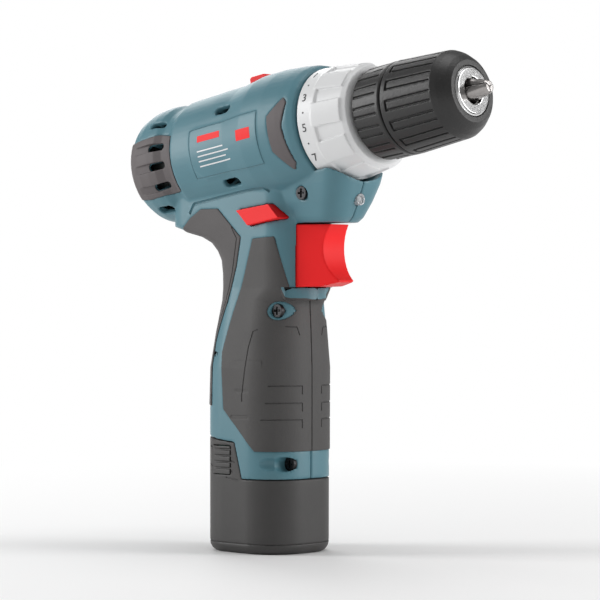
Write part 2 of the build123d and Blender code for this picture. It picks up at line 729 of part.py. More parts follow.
def carrier(stage):
    """A planet carrier: plate, three pins behind and, but for the last, the next sun in front."""
    start = stage_start(stage)
    rear = start + GEAR_WIDTH + GEAR_GAP
    plate = rod(rear, rear + PLATE_WIDTH, RING_INSIDE - 0.25)
    pins = around(rod(start + 0.2, rear + 0.5, PIN_RADIUS, 0, PLANET_ORBIT), 3)
    body = fuse([plate] + pins)
    if stage < 2:
        sun = gear_prism(rear + PLATE_WIDTH - 0.2, stage_start(stage + 1) + GEAR_WIDTH, SUN_TEETH, BACKLASH)
        body = body.fuse(sun)
    if stage == 1:
        dog = slab((rear, -0.35, RING_INSIDE - 1.0), (rear + PLATE_WIDTH, 0.35, RING_INSIDE + 0.9))
        body = body.fuse(*around(dog, 9))
    return BARREL * body


RING_INSIDE = GEAR_MODULE * (RING_TEETH / 2 - 0.8)


def motor_plate():
    """Plate between motor and gears."""
    return BARREL * tube(MOTOR_FRONT, CASE_REAR, CASE_RADIUS - CASE_WALL, 6.4)


def gear_case():
    """Gear housing with the threaded neck that carries the clutch and the spindle."""
    barrel = rod(CASE_REAR, CASE_FRONT, CASE_RADIUS) - rod(CASE_REAR - 1, CASE_FRONT - 3.6, CASE_RADIUS - CASE_WALL)
    neck = rod(CASE_FRONT - 1, NECK_FRONT, NECK_RADIUS)
    ridges = [tube(t, t + 0.8, NECK_RADIUS, NECK_RADIUS - 0.4) for t in (38.0 + 1.6 * k for k in range(11))]
    neck = neck - fuse(ridges)
    bore = rod(20, 60, SPINDLE_RADIUS + 0.6).fuse(rod(NECK_FRONT - 7.6, 60, BEARING_RADIUS))
    slots = [slab((WIRE_T - 5.2, s - 3, -1.1), (WIRE_T + 1.1, s + 3, 1.1)) for s in (-20.0, 20.0)]
    return BARREL * (barrel.fuse(neck) - bore - fuse(slots))


def fixed_ring_gear(stage):
    """A ring gear held in the gear case."""
    start = stage_start(stage) - GEAR_GAP
    return BARREL * ring_gear(start, start + GEAR_WIDTH + 2 * GEAR_GAP, CASE_RADIUS - CASE_WALL)


def sliding_ring_gear():
    """The middle ring gear, with the groove for the shift wire."""
    end = stage_start(2) - 2 * GEAR_GAP
    ring = ring_gear(end - GEAR_WIDTH - 1.2, end, CASE_RADIUS - CASE_WALL - 0.6)
    groove = tube(WIRE_T - 1.0, WIRE_T + 1.0, 20, CASE_RADIUS - CASE_WALL - 1.5)
    return BARREL * (ring - groove)


def output_spindle():
    """The spindle, driven by the last carrier and screwed into the chuck."""
    return BARREL * rod(stage_start(2) + GEAR_WIDTH + GEAR_GAP + PLATE_WIDTH, SPINDLE_END, SPINDLE_RADIUS)


def spindle_bearing():
    """The bearing in the neck."""
    start = NECK_FRONT - 7.6
    ring = tube(start, start + BEARING_WIDTH, BEARING_RADIUS, SPINDLE_RADIUS + RUNNING)
    groove = tube(start + BEARING_WIDTH - 0.7, start + BEARING_WIDTH + 1, 8.2, 6.4)
    return BARREL * (ring - groove)


# ================================================================ clutch
def clutch_ring():
    """The numbered torque ring, with raised grips and four inner keyways."""
    lip = CLUTCH_FRONT - 2.0
    outline = [(CLUTCH_REAR, CLUTCH_BORE), (CLUTCH_REAR, CLUTCH_RADIUS - 0.9), (CLUTCH_REAR + 0.9, CLUTCH_RADIUS),
               (46.0, CLUTCH_RADIUS - 0.6), (46.5, CLUTCH_RADIUS - 1.5), (lip, CLUTCH_NOSE - 0.7),
               (CLUTCH_FRONT, CLUTCH_NOSE - 1.6), (CLUTCH_FRONT, NECK_RADIUS + 0.7), (lip, NECK_RADIUS + 0.7),
               (lip, CLUTCH_BORE)]
    body = turned(outline)
    cone = turned([(45.0, 15), (45.0, CLUTCH_RADIUS - 0.3), (lip, CLUTCH_NOSE), (lip, 15)])
    wide = CLUTCH_RADIUS * math.sin(math.radians(11.5))
    pads = [cone & piece for piece in around(slab((44.0, -wide, 17.0), (lip, wide, 30.0)), CLUTCH_PADS, PAD_TURN)]
    keyways = around(slab((CLUTCH_REAR - 1, -2.3, 15.0), (lip, 2.3, 19.9)), 4)
    inside = turned([(CLUTCH_REAR - 1, 0), (CLUTCH_REAR - 1, CLUTCH_BORE), (lip, CLUTCH_BORE), (lip, 0)])
    return BARREL * (body.fuse(*pads) - fuse(keyways) - inside)


NUT_REAR = 49.6


def clutch_nut():
    """The nut that the ring turns along the neck to load the spring."""
    body = tube(NUT_REAR, NUT_REAR + 4.0, CLUTCH_BORE - 0.4, NECK_RADIUS + RUNNING)
    lug = slab((NUT_REAR, -2.0, CLUTCH_BORE - 1.5), (NUT_REAR + 4.0, 2.0, 19.6))
    return BARREL * fuse([body] + around(lug, 4))


def clutch_spring():
    """The coil spring round the neck."""
    path = Helix(pitch=2.6, height=NUT_REAR - CASE_FRONT - 2.2, radius=15.9)
    wire = sweep(Plane(origin=path @ 0, z_dir=path % 0) * Circle(0.9), path=path, is_frenet=True)
    return BARREL * (Pos(CASE_FRONT + 1.1, 0, 0) * Rot(0, 90, 0) * wire)


# ================================================================ chuck
def jaw_place(along):
    """The point on a jaw's own axis that far from its tip: (along the barrel, from the axis)."""
    lean = math.radians(JAW_ANGLE)
    return JAW_TIP - along * math.cos(lean), JAW_TIP_OUT + along * math.sin(lean)


def jaw_rod(radius, near, far):
    """A cylinder on a jaw's own axis, between two distances from its tip."""
    x, z = jaw_place(near)
    return Pos(x, 0, z) * Rot(0, 180.0 + JAW_ANGLE, 0) * rod(0, far - near, radius)


def jaw(index):
    """One jaw, shut."""
    body = jaw_rod(JAW_RADIUS, -3.0, JAW_LENGTH)
    start = JAW_FACE / math.sin(math.radians(60))
    reach = 40.0
    wedge = Polyline((60, 0, start), (60, reach * math.sqrt(3), start + reach),
                     (60, -reach * math.sqrt(3), start + reach), close=True)
    wedge = extrude(make_face(wedge), 70, dir=(1, 0, 0))
    nose = turned([(60, 0), (60, 30), (104, 30), (106, 8.0), (JAW_TIP - 1.2, 2.8), (JAW_TIP, 2.1), (JAW_TIP, 0)])
    return BARREL * (Rot(120.0 * index, 0, 0) * (body & wedge & nose))


def chuck_body():
    """The chuck's steel body with its three slanting bores."""
    shoulder = COLLAR_SEAT + 7.0
    nose = NOSE_BORE - 0.2
    outline = [(BODY_REAR, SPINDLE_RADIUS), (BODY_REAR, 10.8), (COLLAR_SEAT, 10.8), (COLLAR_SEAT, 13.0),
               (shoulder, 13.0), (shoulder, BODY_RADIUS), (JAW_NUT_REAR - 0.2, BODY_RADIUS),
               (JAW_NUT_REAR - 0.2, NECK_OF_BODY), (JAW_NUT_FRONT + 0.2, NECK_OF_BODY),
               (JAW_NUT_FRONT + 0.2, nose), (LIP_REAR - 0.3, nose), (LIP_REAR - 0.3, 8.0), (NOSE_FACE, 8.0),
               (NOSE_FACE, 5.1), (SPINDLE_END + 4.0, 5.1), (SPINDLE_END + 4.0, 0), (SPINDLE_END, 0),
               (SPINDLE_END, SPINDLE_RADIUS)]
    bores = around(jaw_rod(JAW_RADIUS + RUNNING, -14.0, JAW_LENGTH + JAW_TRAVEL + 0.6), 3)
    return BARREL * (turned(outline) - fuse(bores))


def flutes(block):
    """Copies of a groove or rib, evenly spaced round the chuck."""
    return around(block, FLUTES, FLUTE_TURN)


def chuck_collar():
    """The rear sleeve, fixed to the body."""
    front = CHUCK_SPLIT - 0.2
    outline = [(CHUCK_REAR, 10.8), (CHUCK_REAR, 16.8), (CHUCK_REAR + 1.2, 18.0), (front - 0.5, CHUCK_RADIUS + 0.1),
               (front, 17.9), (front, 16.2), (COLLAR_SEAT + 7.0, 16.2), (COLLAR_SEAT + 7.0, 13.0), (COLLAR_SEAT, 13.0),
               (COLLAR_SEAT, 10.8)]
    groove = slab((CHUCK_REAR + 1.6, -2.2, CHUCK_RADIUS - 0.9), (front - 2.0, 2.2, 30.0))
    rib = slab((CHUCK_REAR + 1.8, -1.3, CHUCK_RADIUS - 1.4), (front - 2.2, 1.3, CHUCK_RADIUS))
    return BARREL * (turned(outline) - fuse(flutes(groove))).fuse(*flutes(rib))


def chuck_sleeve():
    """The front sleeve, which turns the jaws' nut."""
    rear = CHUCK_SPLIT + 0.2
    outline = [(rear, 16.2), (rear, 17.9), (rear + 0.6, CHUCK_RADIUS + 0.1), (CHUCK_TAPER, CHUCK_WAIST),
               (CHUCK_TAPER + 2.2, 16.1), (CHUCK_TAPER + 5.0, 14.0), (CHUCK_FRONT, 12.1), (CHUCK_FRONT, 9.9),
               (LIP_REAR, 9.9), (LIP_REAR, NOSE_BORE), (JAW_NUT_FRONT + 0.4, NOSE_BORE),
               (JAW_NUT_FRONT + 0.4, 14.6), (JAW_NUT_REAR - 0.3, 14.6), (JAW_NUT_REAR - 0.3, 16.2)]
    lean = math.degrees(math.atan2(CHUCK_RADIUS + 0.1 - CHUCK_WAIST, CHUCK_TAPER - rear))
    place = Pos(rear, 0, CHUCK_RADIUS) * Rot(0, lean, 0)
    groove = place * slab((2.6, -2.2, -0.8), (24.0, 2.2, 6.0))
    rib = place * slab((3.4, -1.3, -1.3), (24.0, 1.3, 0.1))
    return BARREL * (turned(outline) - fuse(flutes(groove))).fuse(*flutes(rib))


def chuck_nose_ring():
    """The bright ring at the chuck's mouth."""
    front = NOSE_RING_FRONT
    outline = [(LIP_REAR, 8.0), (LIP_REAR, NOSE_RING_RADIUS), (front - 0.9, NOSE_RING_RADIUS), (front - 0.7, 9.0),
               (front, 8.8), (front, NOSE_HOLE), (NOSE_FACE, NOSE_HOLE), (NOSE_FACE, 8.0)]
    return BARREL * turned(outline)


def jaw_nut():
    """The tapered nut round the jaws."""
    def bore(t):
        """Radius that clears the jaws at that place."""
        lean = math.radians(JAW_ANGLE)
        return JAW_TIP_OUT + (JAW_TIP - t) * math.tan(lean) + (JAW_RADIUS + RUNNING) / math.cos(lean)
    outline = [(JAW_NUT_REAR, bore(JAW_NUT_REAR)), (JAW_NUT_REAR, 14.6), (JAW_NUT_FRONT, 14.6),
               (JAW_NUT_FRONT, bore(JAW_NUT_FRONT))]
    return BARREL * turned(outline)


# ================================================================ battery
def contact_block_form():
    """Seat of the contact block, above the battery."""
    return slab((-13.0, -9.0, TOWER_TOP + 1.0), (9.0, 9.0, TOWER_TOP + 7.5))


BLADES = ((-9.0, -5.5), (-9.0, 5.5), (4.5, -4.5), (4.5, 4.5))


def contact_block():
    """The block whose blades reach down into the battery."""
    blades = [slab((x - 2.6, y - 0.4, TOWER_TOP - 4.6), (x + 2.6, y + 0.4, TOWER_TOP + 7.0)) for x, y in BLADES]
    return contact_block_form().fuse(*blades)


def battery_foot():
    """The cap under the battery, with its edge rounded off."""
    block = handle_form(0.0) & slab((-60, -60, 0), (60, 60, CAP_HEIGHT))
    rim = [(0.0, -2.4), (1.1, -1.0), (2.6, -0.2), (CAP_HEIGHT, 0.0)]
    sections = [(z, FOOT_REAR - g, FOOT_FRONT + g, FOOT_HALF + g, FOOT_CORNER + g) for z, g in rim]
    return block & tower(sections)


def step_line(height, jog):
    """A narrow groove round the foot that steps up towards the back."""
    points = [(60, height), (-6.5 + jog, height), (-9.5 + jog, height + 7.5), (-60, height + 7.5),
              (-60, height + 8.4), (-9.9 + jog, height + 8.4), (-6.9 + jog, height + 0.9), (60, height + 0.9)]
    return side_prism(points, -60, 60) & (handle_form(1.0) - handle_form(-0.5))


def release_window(grow):
    """Side outline of a release button."""
    g = grow
    return slab((-12.5 - g, -60, 31.5 - g), (-1.8 + g, -15, 42.6 + g))


def battery_case():
    """The battery's case: the foot in the open and the tower inside the handle."""
    foot = handle_form(0.0) & lower_edge(SEAT_GAP) & slab((-60, -60, CAP_HEIGHT), (60, 60, 60))
    room = handle_form(-2.0) & slab((-60, -60, CAP_HEIGHT - 1), (60, 60, SHELL_BOTTOM - 3.0))
    stem = cell_hull(CELL_RADIUS + TOWER_WALL, CAP_HEIGHT, TOWER_TOP)
    wells = cell_hull(CELL_RADIUS, CAP_HEIGHT - 1, CELL_FLOOR + CELL_LENGTH + 2.6)
    blades = [slab((x - 3.2, y - 0.9, 60), (x + 3.2, y + 0.9, TOWER_TOP + 1)) for x, y in BLADES]
    floor = cell_hull(CELL_RADIUS, CAP_HEIGHT, CELL_FLOOR)
    body = (foot - room).fuse(stem) - wells - fuse(blades)
    body = body.fuse(floor) - step_line(6.6, 0.0) - step_line(11.4, 2.6)
    return body - release_window(0.3) - left_twin(release_window(0.3))


def battery_cells():
    """Three cylindrical cells."""
    cells = []
    for x, y in cell_spots():
        can = Cylinder(CELL_RADIUS - 0.02, CELL_LENGTH - 1.2, align=(Align.CENTER, Align.CENTER, Align.MIN))
        nub = Cylinder(3.0, 1.2, align=(Align.CENTER, Align.CENTER, Align.MIN))
        cells.append(Pos(x, y, CELL_FLOOR) * can.fuse(Pos(0, 0, CELL_LENGTH - 1.2) * nub))
    return compound_of(cells)


def battery_terminals():
    """Spring clips under the battery's top that take the blades."""
    clips = []
    low = CELL_FLOOR + CELL_LENGTH
    for x, y in BLADES:
        outer = slab((x - 2.6, y - 1.6, low), (x + 2.6, y + 1.6, low + 2.6))
        clips.append(outer - slab((x - 9, y - 0.6, low + 0.5), (x + 9, y + 0.6, low + 9)))
    return compound_of(clips)


def right_release():
    """The ribbed release button on the battery's right side."""
    plate = biggest(release_window(0.0) & (handle_form(0.25) - handle_form(-1.1)))
    lines = [slab((-14, -60, z), (-1.0, -20.1, z + 0.8)) for z in (33.4, 35.9, 38.4, 40.9)]
    return biggest(plate - fuse([line & handle_form(1.0) for line in lines]))


# ================================================================ the whole
def all_pieces():
    """Every piece by its name."""
    skins = {"grip": right_grip(), "backstrap": right_backstrap(), "vent_trim": right_vent_trim(), "pad": right_nose_pad()}
    right, left = housings(list(skins.values()))
    release = right_release()
    pieces = {
        "right_housing": right, "left_housing": left,
        "right_grip": skins["grip"], "left_grip": left_twin(skins["grip"]),
        "right_backstrap": skins["backstrap"], "left_backstrap": left_twin(skins["backstrap"]),
        "right_vent_trim": skins["vent_trim"], "left_vent_trim": left_twin(skins["vent_trim"]),
        "nose_pads": compound_of([skins["pad"], left_twin(skins["pad"])]),
        "housing_screws": housing_screws(), "switch_body": switch_body(), "work_light": work_light(),
        "trigger": trigger(), "direction_selector": direction_selector(), "speed_selector": speed_selector(),
        "shift_wire": shift_wire(), "motor_can": motor_can(), "motor_magnets": motor_magnets(),
        "motor_end_cap": motor_end_cap(), "motor_brushes": motor_brushes(), "motor_shaft": motor_shaft(),
        "armature": armature(), "commutator": commutator(), "cooling_fan": cooling_fan(),
        "motor_pinion": motor_pinion(), "motor_plate": motor_plate(), "gear_case": gear_case(),
        "ring_gear_1": fixed_ring_gear(0), "ring_gear_2": sliding_ring_gear(), "ring_gear_3": fixed_ring_gear(2),
        "carrier_1": carrier(0), "carrier_2": carrier(1), "carrier_3": carrier(2),
        "middle_planets": BARREL * compound_of(around(planet(1), 3)),
        "output_spindle": output_spindle(), "spindle_bearing": spindle_bearing(),
        "clutch_ring": clutch_ring(), "clutch_nut": clutch_nut(), "clutch_spring": clutch_spring(),
        "chuck_body": chuck_body(), "chuck_collar": chuck_collar(), "chuck_sleeve": chuck_sleeve(),
        "chuck_nose_ring": chuck_nose_ring(), "jaw_nut": jaw_nut(),
        "contact_block": contact_block(), "battery_case": battery_case(), "battery_foot": battery_foot(),
        "battery_cells": battery_cells(), "battery_terminals": battery_terminals(),
        "right_release": release, "left_release": left_twin(release),
    }
    for k in range(3):
        pieces[f"jaw_{k + 1}"] = jaw(k)
        pieces[f"planet_1_{k + 1}"] = BARREL * (Rot(120.0 * k, 0, 0) * planet(0))
        pieces[f"planet_3_{k + 1}"] = BARREL * (Rot(120.0 * k, 0, 0) * planet(2))
    return pieces


def main():
    """Builds every piece and writes one file for each."""
    os.makedirs("parts", exist_ok=True)
    for name, shape in all_pieces().items():
        export_step(shape, os.path.join("parts", name + ".step"))


main()
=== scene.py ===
"""Looks of a compact cordless drill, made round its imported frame.

Lengths inside the classes are in millimetres, as a maker writes them, and become metres in the meshes.
Barrel places are given as (t, angle): t along the spindle from the handle's axis, and the angle in
degrees round it, 0 at the tool's right side and 90 at the top.
"""

from __future__ import annotations

import json
import logging
import math
from dataclasses import dataclass, field
from enum import Enum

import bpy
from mathutils import Matrix, Vector

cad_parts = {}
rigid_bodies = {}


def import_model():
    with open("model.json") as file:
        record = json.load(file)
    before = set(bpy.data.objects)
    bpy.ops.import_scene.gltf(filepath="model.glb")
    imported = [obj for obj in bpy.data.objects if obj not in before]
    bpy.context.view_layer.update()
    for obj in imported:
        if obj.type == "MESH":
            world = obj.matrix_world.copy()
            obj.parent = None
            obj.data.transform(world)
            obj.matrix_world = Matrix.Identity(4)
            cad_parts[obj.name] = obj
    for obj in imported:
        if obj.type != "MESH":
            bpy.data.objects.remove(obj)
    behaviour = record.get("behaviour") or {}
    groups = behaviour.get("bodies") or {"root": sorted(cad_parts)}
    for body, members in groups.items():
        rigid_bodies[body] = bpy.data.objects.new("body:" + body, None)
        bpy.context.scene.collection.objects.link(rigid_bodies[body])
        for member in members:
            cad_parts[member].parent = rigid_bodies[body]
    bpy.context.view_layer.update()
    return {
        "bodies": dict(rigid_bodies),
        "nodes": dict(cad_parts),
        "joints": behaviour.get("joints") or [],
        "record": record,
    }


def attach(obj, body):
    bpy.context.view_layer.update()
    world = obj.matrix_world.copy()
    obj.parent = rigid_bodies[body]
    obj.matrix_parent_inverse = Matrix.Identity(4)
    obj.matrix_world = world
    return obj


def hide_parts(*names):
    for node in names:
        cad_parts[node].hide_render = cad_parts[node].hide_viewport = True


MM = 0.001
BARREL_HEIGHT = 164.5
BARREL_PITCH = 8.2
BARREL_REACH = 34.0
RAY_START = 9.0
RAY_LENGTH = 16.0

Point = tuple[float, float, float]
log = logging.getLogger("drill")


class Slot(Enum):
    """The record's material slots."""

    TEAL = "teal"
    GRIP = "grip_rubber"
    BACKSTRAP = "backstrap_rubber"
    TRIM = "trim_grey"
    SCREW = "screw_steel"
    BLACK = "black_plastic"
    LAMP = "lamp_lens"
    RED = "red_plastic"
    SPRING = "spring_steel"
    CAN = "can_steel"
    MAGNET = "magnet"
    CARBON = "carbon"
    BRIGHT = "bright_steel"
    IRON = "armature_iron"
    COPPER = "copper"
    GEAR = "gear_steel"
    NYLON = "case_nylon"
    SILVER = "clutch_silver"
    CHUCK = "chuck_black"
    CHROME = "nose_chrome"
    BRASS = "contact_brass"
    BATTERY = "battery_black"
    CELL = "cell_wrap"
    RELEASE = "release_black"
    JAW = "jaw_steel"


class Side(Enum):
    """The two sides of the tool; the value is the sign of y."""

    RIGHT = -1
    LEFT = 1

    def around(self, angle: float) -> float:
        """The angle round the barrel on this side of one given for the right side."""
        return angle if self is Side.RIGHT else 180.0 - angle


# ---------------------------------------------------------------- finishes
class SharedGroups:
    """Shader node groups that several finishes use: mottle, grain, and rubbed edges with painted shade in
    the hollows.
    """

    def __init__(self) -> None:
        """Builds each group once."""
        self.mottle = self._mottle()
        self.grain = self._grain()
        # The wear group gives both the rubbed-edge mask and the hollows that take painted shade.
        self.wear = self._wear()

    @staticmethod
    def _group(name: str, outputs: tuple[str, ...], inputs: tuple[str, ...]) -> bpy.types.NodeTree:
        """An empty group with a Vector input and named value sockets.

        Args:
            name: the group's name.
            outputs: names of its value outputs.
            inputs: names of its value inputs.

        Returns:
            The new node group.
        """
        group = bpy.data.node_groups.new(name, "ShaderNodeTree")
        group.interface.new_socket("Vector", in_out="INPUT", socket_type="NodeSocketVector")
        for item in inputs:
            group.interface.new_socket(item, in_out="INPUT", socket_type="NodeSocketFloat")
        for item in outputs:
            group.interface.new_socket(item, in_out="OUTPUT", socket_type="NodeSocketFloat")
        group.nodes.new("NodeGroupInput").name = "in"
        group.nodes.new("NodeGroupOutput").name = "out"
        return group

    def _mottle(self) -> bpy.types.NodeTree:
        """Slow unevenness of colour and gloss, 0 to 1.

        Returns:
            The group, with the outputs Broad and Fine.
        """
        group = self._group("mottle", ("Broad", "Fine"), ())
        for output, scale, detail in (("Broad", 70.0, 3.0), ("Fine", 900.0, 4.0)):
            noise = group.nodes.new("ShaderNodeTexNoise")
            noise.inputs["Scale"].default_value = scale
            noise.inputs["Detail"].default_value = detail
            group.links.new(group.nodes["in"].outputs["Vector"], noise.inputs["Vector"])
            group.links.new(noise.outputs["Fac"], group.nodes["out"].inputs[output])
        return group

    def _grain(self) -> bpy.types.NodeTree:
        """Spark-eroded mould grain: small rounded cells over fine noise.

        Returns:
            The group, with the input Scale and the output Height.
        """
        group = self._group("mould grain", ("Height",), ("Scale",))
        cells = group.nodes.new("ShaderNodeTexVoronoi")
        cells.feature = "SMOOTH_F1"
        noise = group.nodes.new("ShaderNodeTexNoise")
        noise.inputs["Detail"].default_value = 5.0
        mix = group.nodes.new("ShaderNodeMix")
        mix.inputs["Factor"].default_value = 0.45
        for node in (cells, noise):
            group.links.new(group.nodes["in"].outputs["Vector"], node.inputs["Vector"])
            group.links.new(group.nodes["in"].outputs["Scale"], node.inputs["Scale"])
        group.links.new(cells.outputs["Distance"], mix.inputs["A"])
        group.links.new(noise.outputs["Fac"], mix.inputs["B"])
        group.links.new(mix.outputs["Result"], group.nodes["out"].inputs["Height"])
        return group

    def _wear(self) -> bpy.types.NodeTree:
        """Rubbed edges, broken up by noise, and the hollows, which are given painted shade.

        Returns:
            The group, with the inputs Low and High and the outputs Mask and Hollow.
        """
        group = self._group("edge wear and hollow shade", ("Mask", "Hollow"), ("Low", "High"))
        shape = group.nodes.new("ShaderNodeNewGeometry")
        noise = group.nodes.new("ShaderNodeTexNoise")
        noise.inputs["Scale"].default_value = 420.0
        noise.inputs["Detail"].default_value = 4.0
        edge = group.nodes.new("ShaderNodeMapRange")
        patch = group.nodes.new("ShaderNodeMapRange")
        patch.inputs["From Min"].default_value = 0.42
        patch.inputs["From Max"].default_value = 0.62
        both = group.nodes.new("ShaderNodeMath")
        both.operation = "MULTIPLY"
        # Hollow: low pointiness marks creases and recesses, where the finishes paint in shade.
        hollow = group.nodes.new("ShaderNodeMapRange")
        hollow.inputs["From Min"].default_value = 0.485
        hollow.inputs["From Max"].default_value = 0.40
        group.links.new(group.nodes["in"].outputs["Vector"], noise.inputs["Vector"])
        group.links.new(group.nodes["in"].outputs["Low"], edge.inputs["From Min"])
        group.links.new(group.nodes["in"].outputs["High"], edge.inputs["From Max"])
        group.links.new(shape.outputs["Pointiness"], edge.inputs["Value"])
        group.links.new(shape.outputs["Pointiness"], hollow.inputs["Value"])
        group.links.new(noise.outputs["Fac"], patch.inputs["Value"])
        group.links.new(edge.outputs["Result"], both.inputs[0])
        group.links.new(patch.outputs["Result"], both.inputs[1])
        group.links.new(both.outputs["Value"], group.nodes["out"].inputs["Mask"])
        group.links.new(hollow.outputs["Result"], group.nodes["out"].inputs["Hollow"])
        return group


@dataclass(frozen=True)
class Finish:
    """One surface: its colour, gloss, grain, wear and the painted shade in its hollows."""

    name: str
    colour: tuple[float, float, float]
    worn: tuple[float, float, float]
    roughness: float = 0.45
    metallic: float = 0.0
    grain_scale: float = 2600.0
    grain_height: float = 0.02
    mottle: float = 0.12
    wear: float = 0.3
    coat: float = 0.0
    specular: float = 0.5
    anisotropic: float = 0.0
    transmission: float = 0.0
    # Strength of the painted shade that darkens the hollows, towards 0.35 of the colour.
    grime: float = 0.5

    def material(self, groups: SharedGroups) -> bpy.types.Material:
        """The finish as a procedural material.

        Args:
            groups: the shared node groups.

        Returns:
            The material, reading Object coordinates.
        """
        material = bpy.data.materials.new(self.name)
        material.use_nodes = True
        tree = material.node_tree
        shader = tree.nodes["Principled BSDF"]
        place = tree.nodes.new("ShaderNodeTexCoord").outputs["Object"]
        mottle = self._placed(tree, groups.mottle, place, {})
        grain = self._placed(tree, groups.grain, place, {"Scale": self.grain_scale})
        wear = self._placed(tree, groups.wear, place, {"Low": 0.54, "High": 0.66})
        dark = tuple(channel * (1.0 - 2.2 * self.mottle) for channel in self.colour)
        base = self._mix(tree, mottle.outputs["Broad"], dark, self.colour, 1.0)
        # Painted shade: the hollows from the wear group's Hollow output are darkened to 0.35 of the colour,
        # scaled by the hollow shade value.
        shaded_colour = tuple(channel * 0.35 for channel in self.colour)
        shaded_base = self._mix(tree, wear.outputs["Hollow"], base, shaded_colour, self.grime)
        colour = self._mix(tree, wear.outputs["Mask"], shaded_base, self.worn, self.wear)
        tree.links.new(colour, shader.inputs["Base Color"])
        gloss = tree.nodes.new("ShaderNodeMapRange")
        gloss.inputs["To Min"].default_value = self.roughness - 0.35 * self.mottle
        gloss.inputs["To Max"].default_value = self.roughness + 0.35 * self.mottle
        tree.links.new(mottle.outputs["Fine"], gloss.inputs["Value"])
        tree.links.new(gloss.outputs["Result"], shader.inputs["Roughness"])
        bump = tree.nodes.new("ShaderNodeBump")
        bump.inputs["Strength"].default_value = 1.0
        bump.inputs["Distance"].default_value = self.grain_height * MM
        tree.links.new(grain.outputs["Height"], bump.inputs["Height"])
        tree.links.new(bump.outputs["Normal"], shader.inputs["Normal"])
        shader.inputs["Metallic"].default_value = self.metallic
        shader.inputs["Coat Weight"].default_value = self.coat
        shader.inputs["Coat Roughness"].default_value = 0.15
        shader.inputs["Specular IOR Level"].default_value = self.specular
        shader.inputs["Anisotropic"].default_value = self.anisotropic
        shader.inputs["Transmission Weight"].default_value = self.transmission
        return material

    @staticmethod
    def _placed(tree: bpy.types.NodeTree, group: bpy.types.NodeTree, place: bpy.types.NodeSocket,
                values: dict[str, float]) -> bpy.types.Node:
        """A shared group, placed in a material.

        Args:
            tree: the material's nodes.
            group: the shared group.
            place: the coordinates that it reads.
            values: its own values.

        Returns:
            The group's node.
        """
        node = tree.nodes.new("ShaderNodeGroup")
        node.node_tree = group
        tree.links.new(place, node.inputs["Vector"])
        for name, value in values.items():
            node.inputs[name].default_value = value
        return node

    @staticmethod
    def _mix(tree: bpy.types.NodeTree, mask: bpy.types.NodeSocket, low: object, high: object,
             amount: float) -> bpy.types.NodeSocket:
        """Two colours mixed by a mask.

        Args:
            tree: the material's nodes.
            mask: the mask, 0 to 1.
            low: colour or socket where the mask is 0.
            high: colour or socket where the mask is 1.
            amount: how much of the high colour the full mask gives.

        Returns:
            The mixed colour.
        """
        scale = tree.nodes.new("ShaderNodeMath")
        scale.operation = "MULTIPLY"
        scale.inputs[1].default_value = amount
        tree.links.new(mask, scale.inputs[0])
        mix = tree.nodes.new("ShaderNodeMix")
        mix.data_type = "RGBA"
        tree.links.new(scale.outputs["Value"], mix.inputs["Factor"])
        for name, value in (("A", low), ("B", high)):
            socket = next(s for s in mix.inputs if s.name == name and s.type == "RGBA")
            if isinstance(value, tuple):
                socket.default_value = (*value, 1.0)
            else:
                tree.links.new(value, socket)
        return next(s for s in mix.outputs if s.type == "RGBA")


def plastic(name: str, colour: tuple[float, float, float], **more: float) -> Finish:
    """A moulded plastic, with paler rubbed edges.

    Args:
        name: the finish's name.
        colour: its linear base colour.
        **more: other values of the finish.

    Returns:
        The finish.
    """
    worn = tuple(min(1.0, channel * 1.35 + 0.03) for channel in colour)
    return Finish(name, colour, worn, **more)


def metal(name: str, colour: tuple[float, float, float], roughness: float, **more: float) -> Finish:
    """A bare metal, with brighter edges.

    Args:
        name: the finish's name.
        colour: its linear base colour.
        roughness: its mean roughness.
        **more: other values of the finish.

    Returns:
        The finish.
    """
    worn = tuple(min(1.0, channel * 1.25 + 0.05) for channel in colour)
    return Finish(name, colour, worn, roughness=roughness, metallic=1.0, **{"grain_height": 0.004, **more})


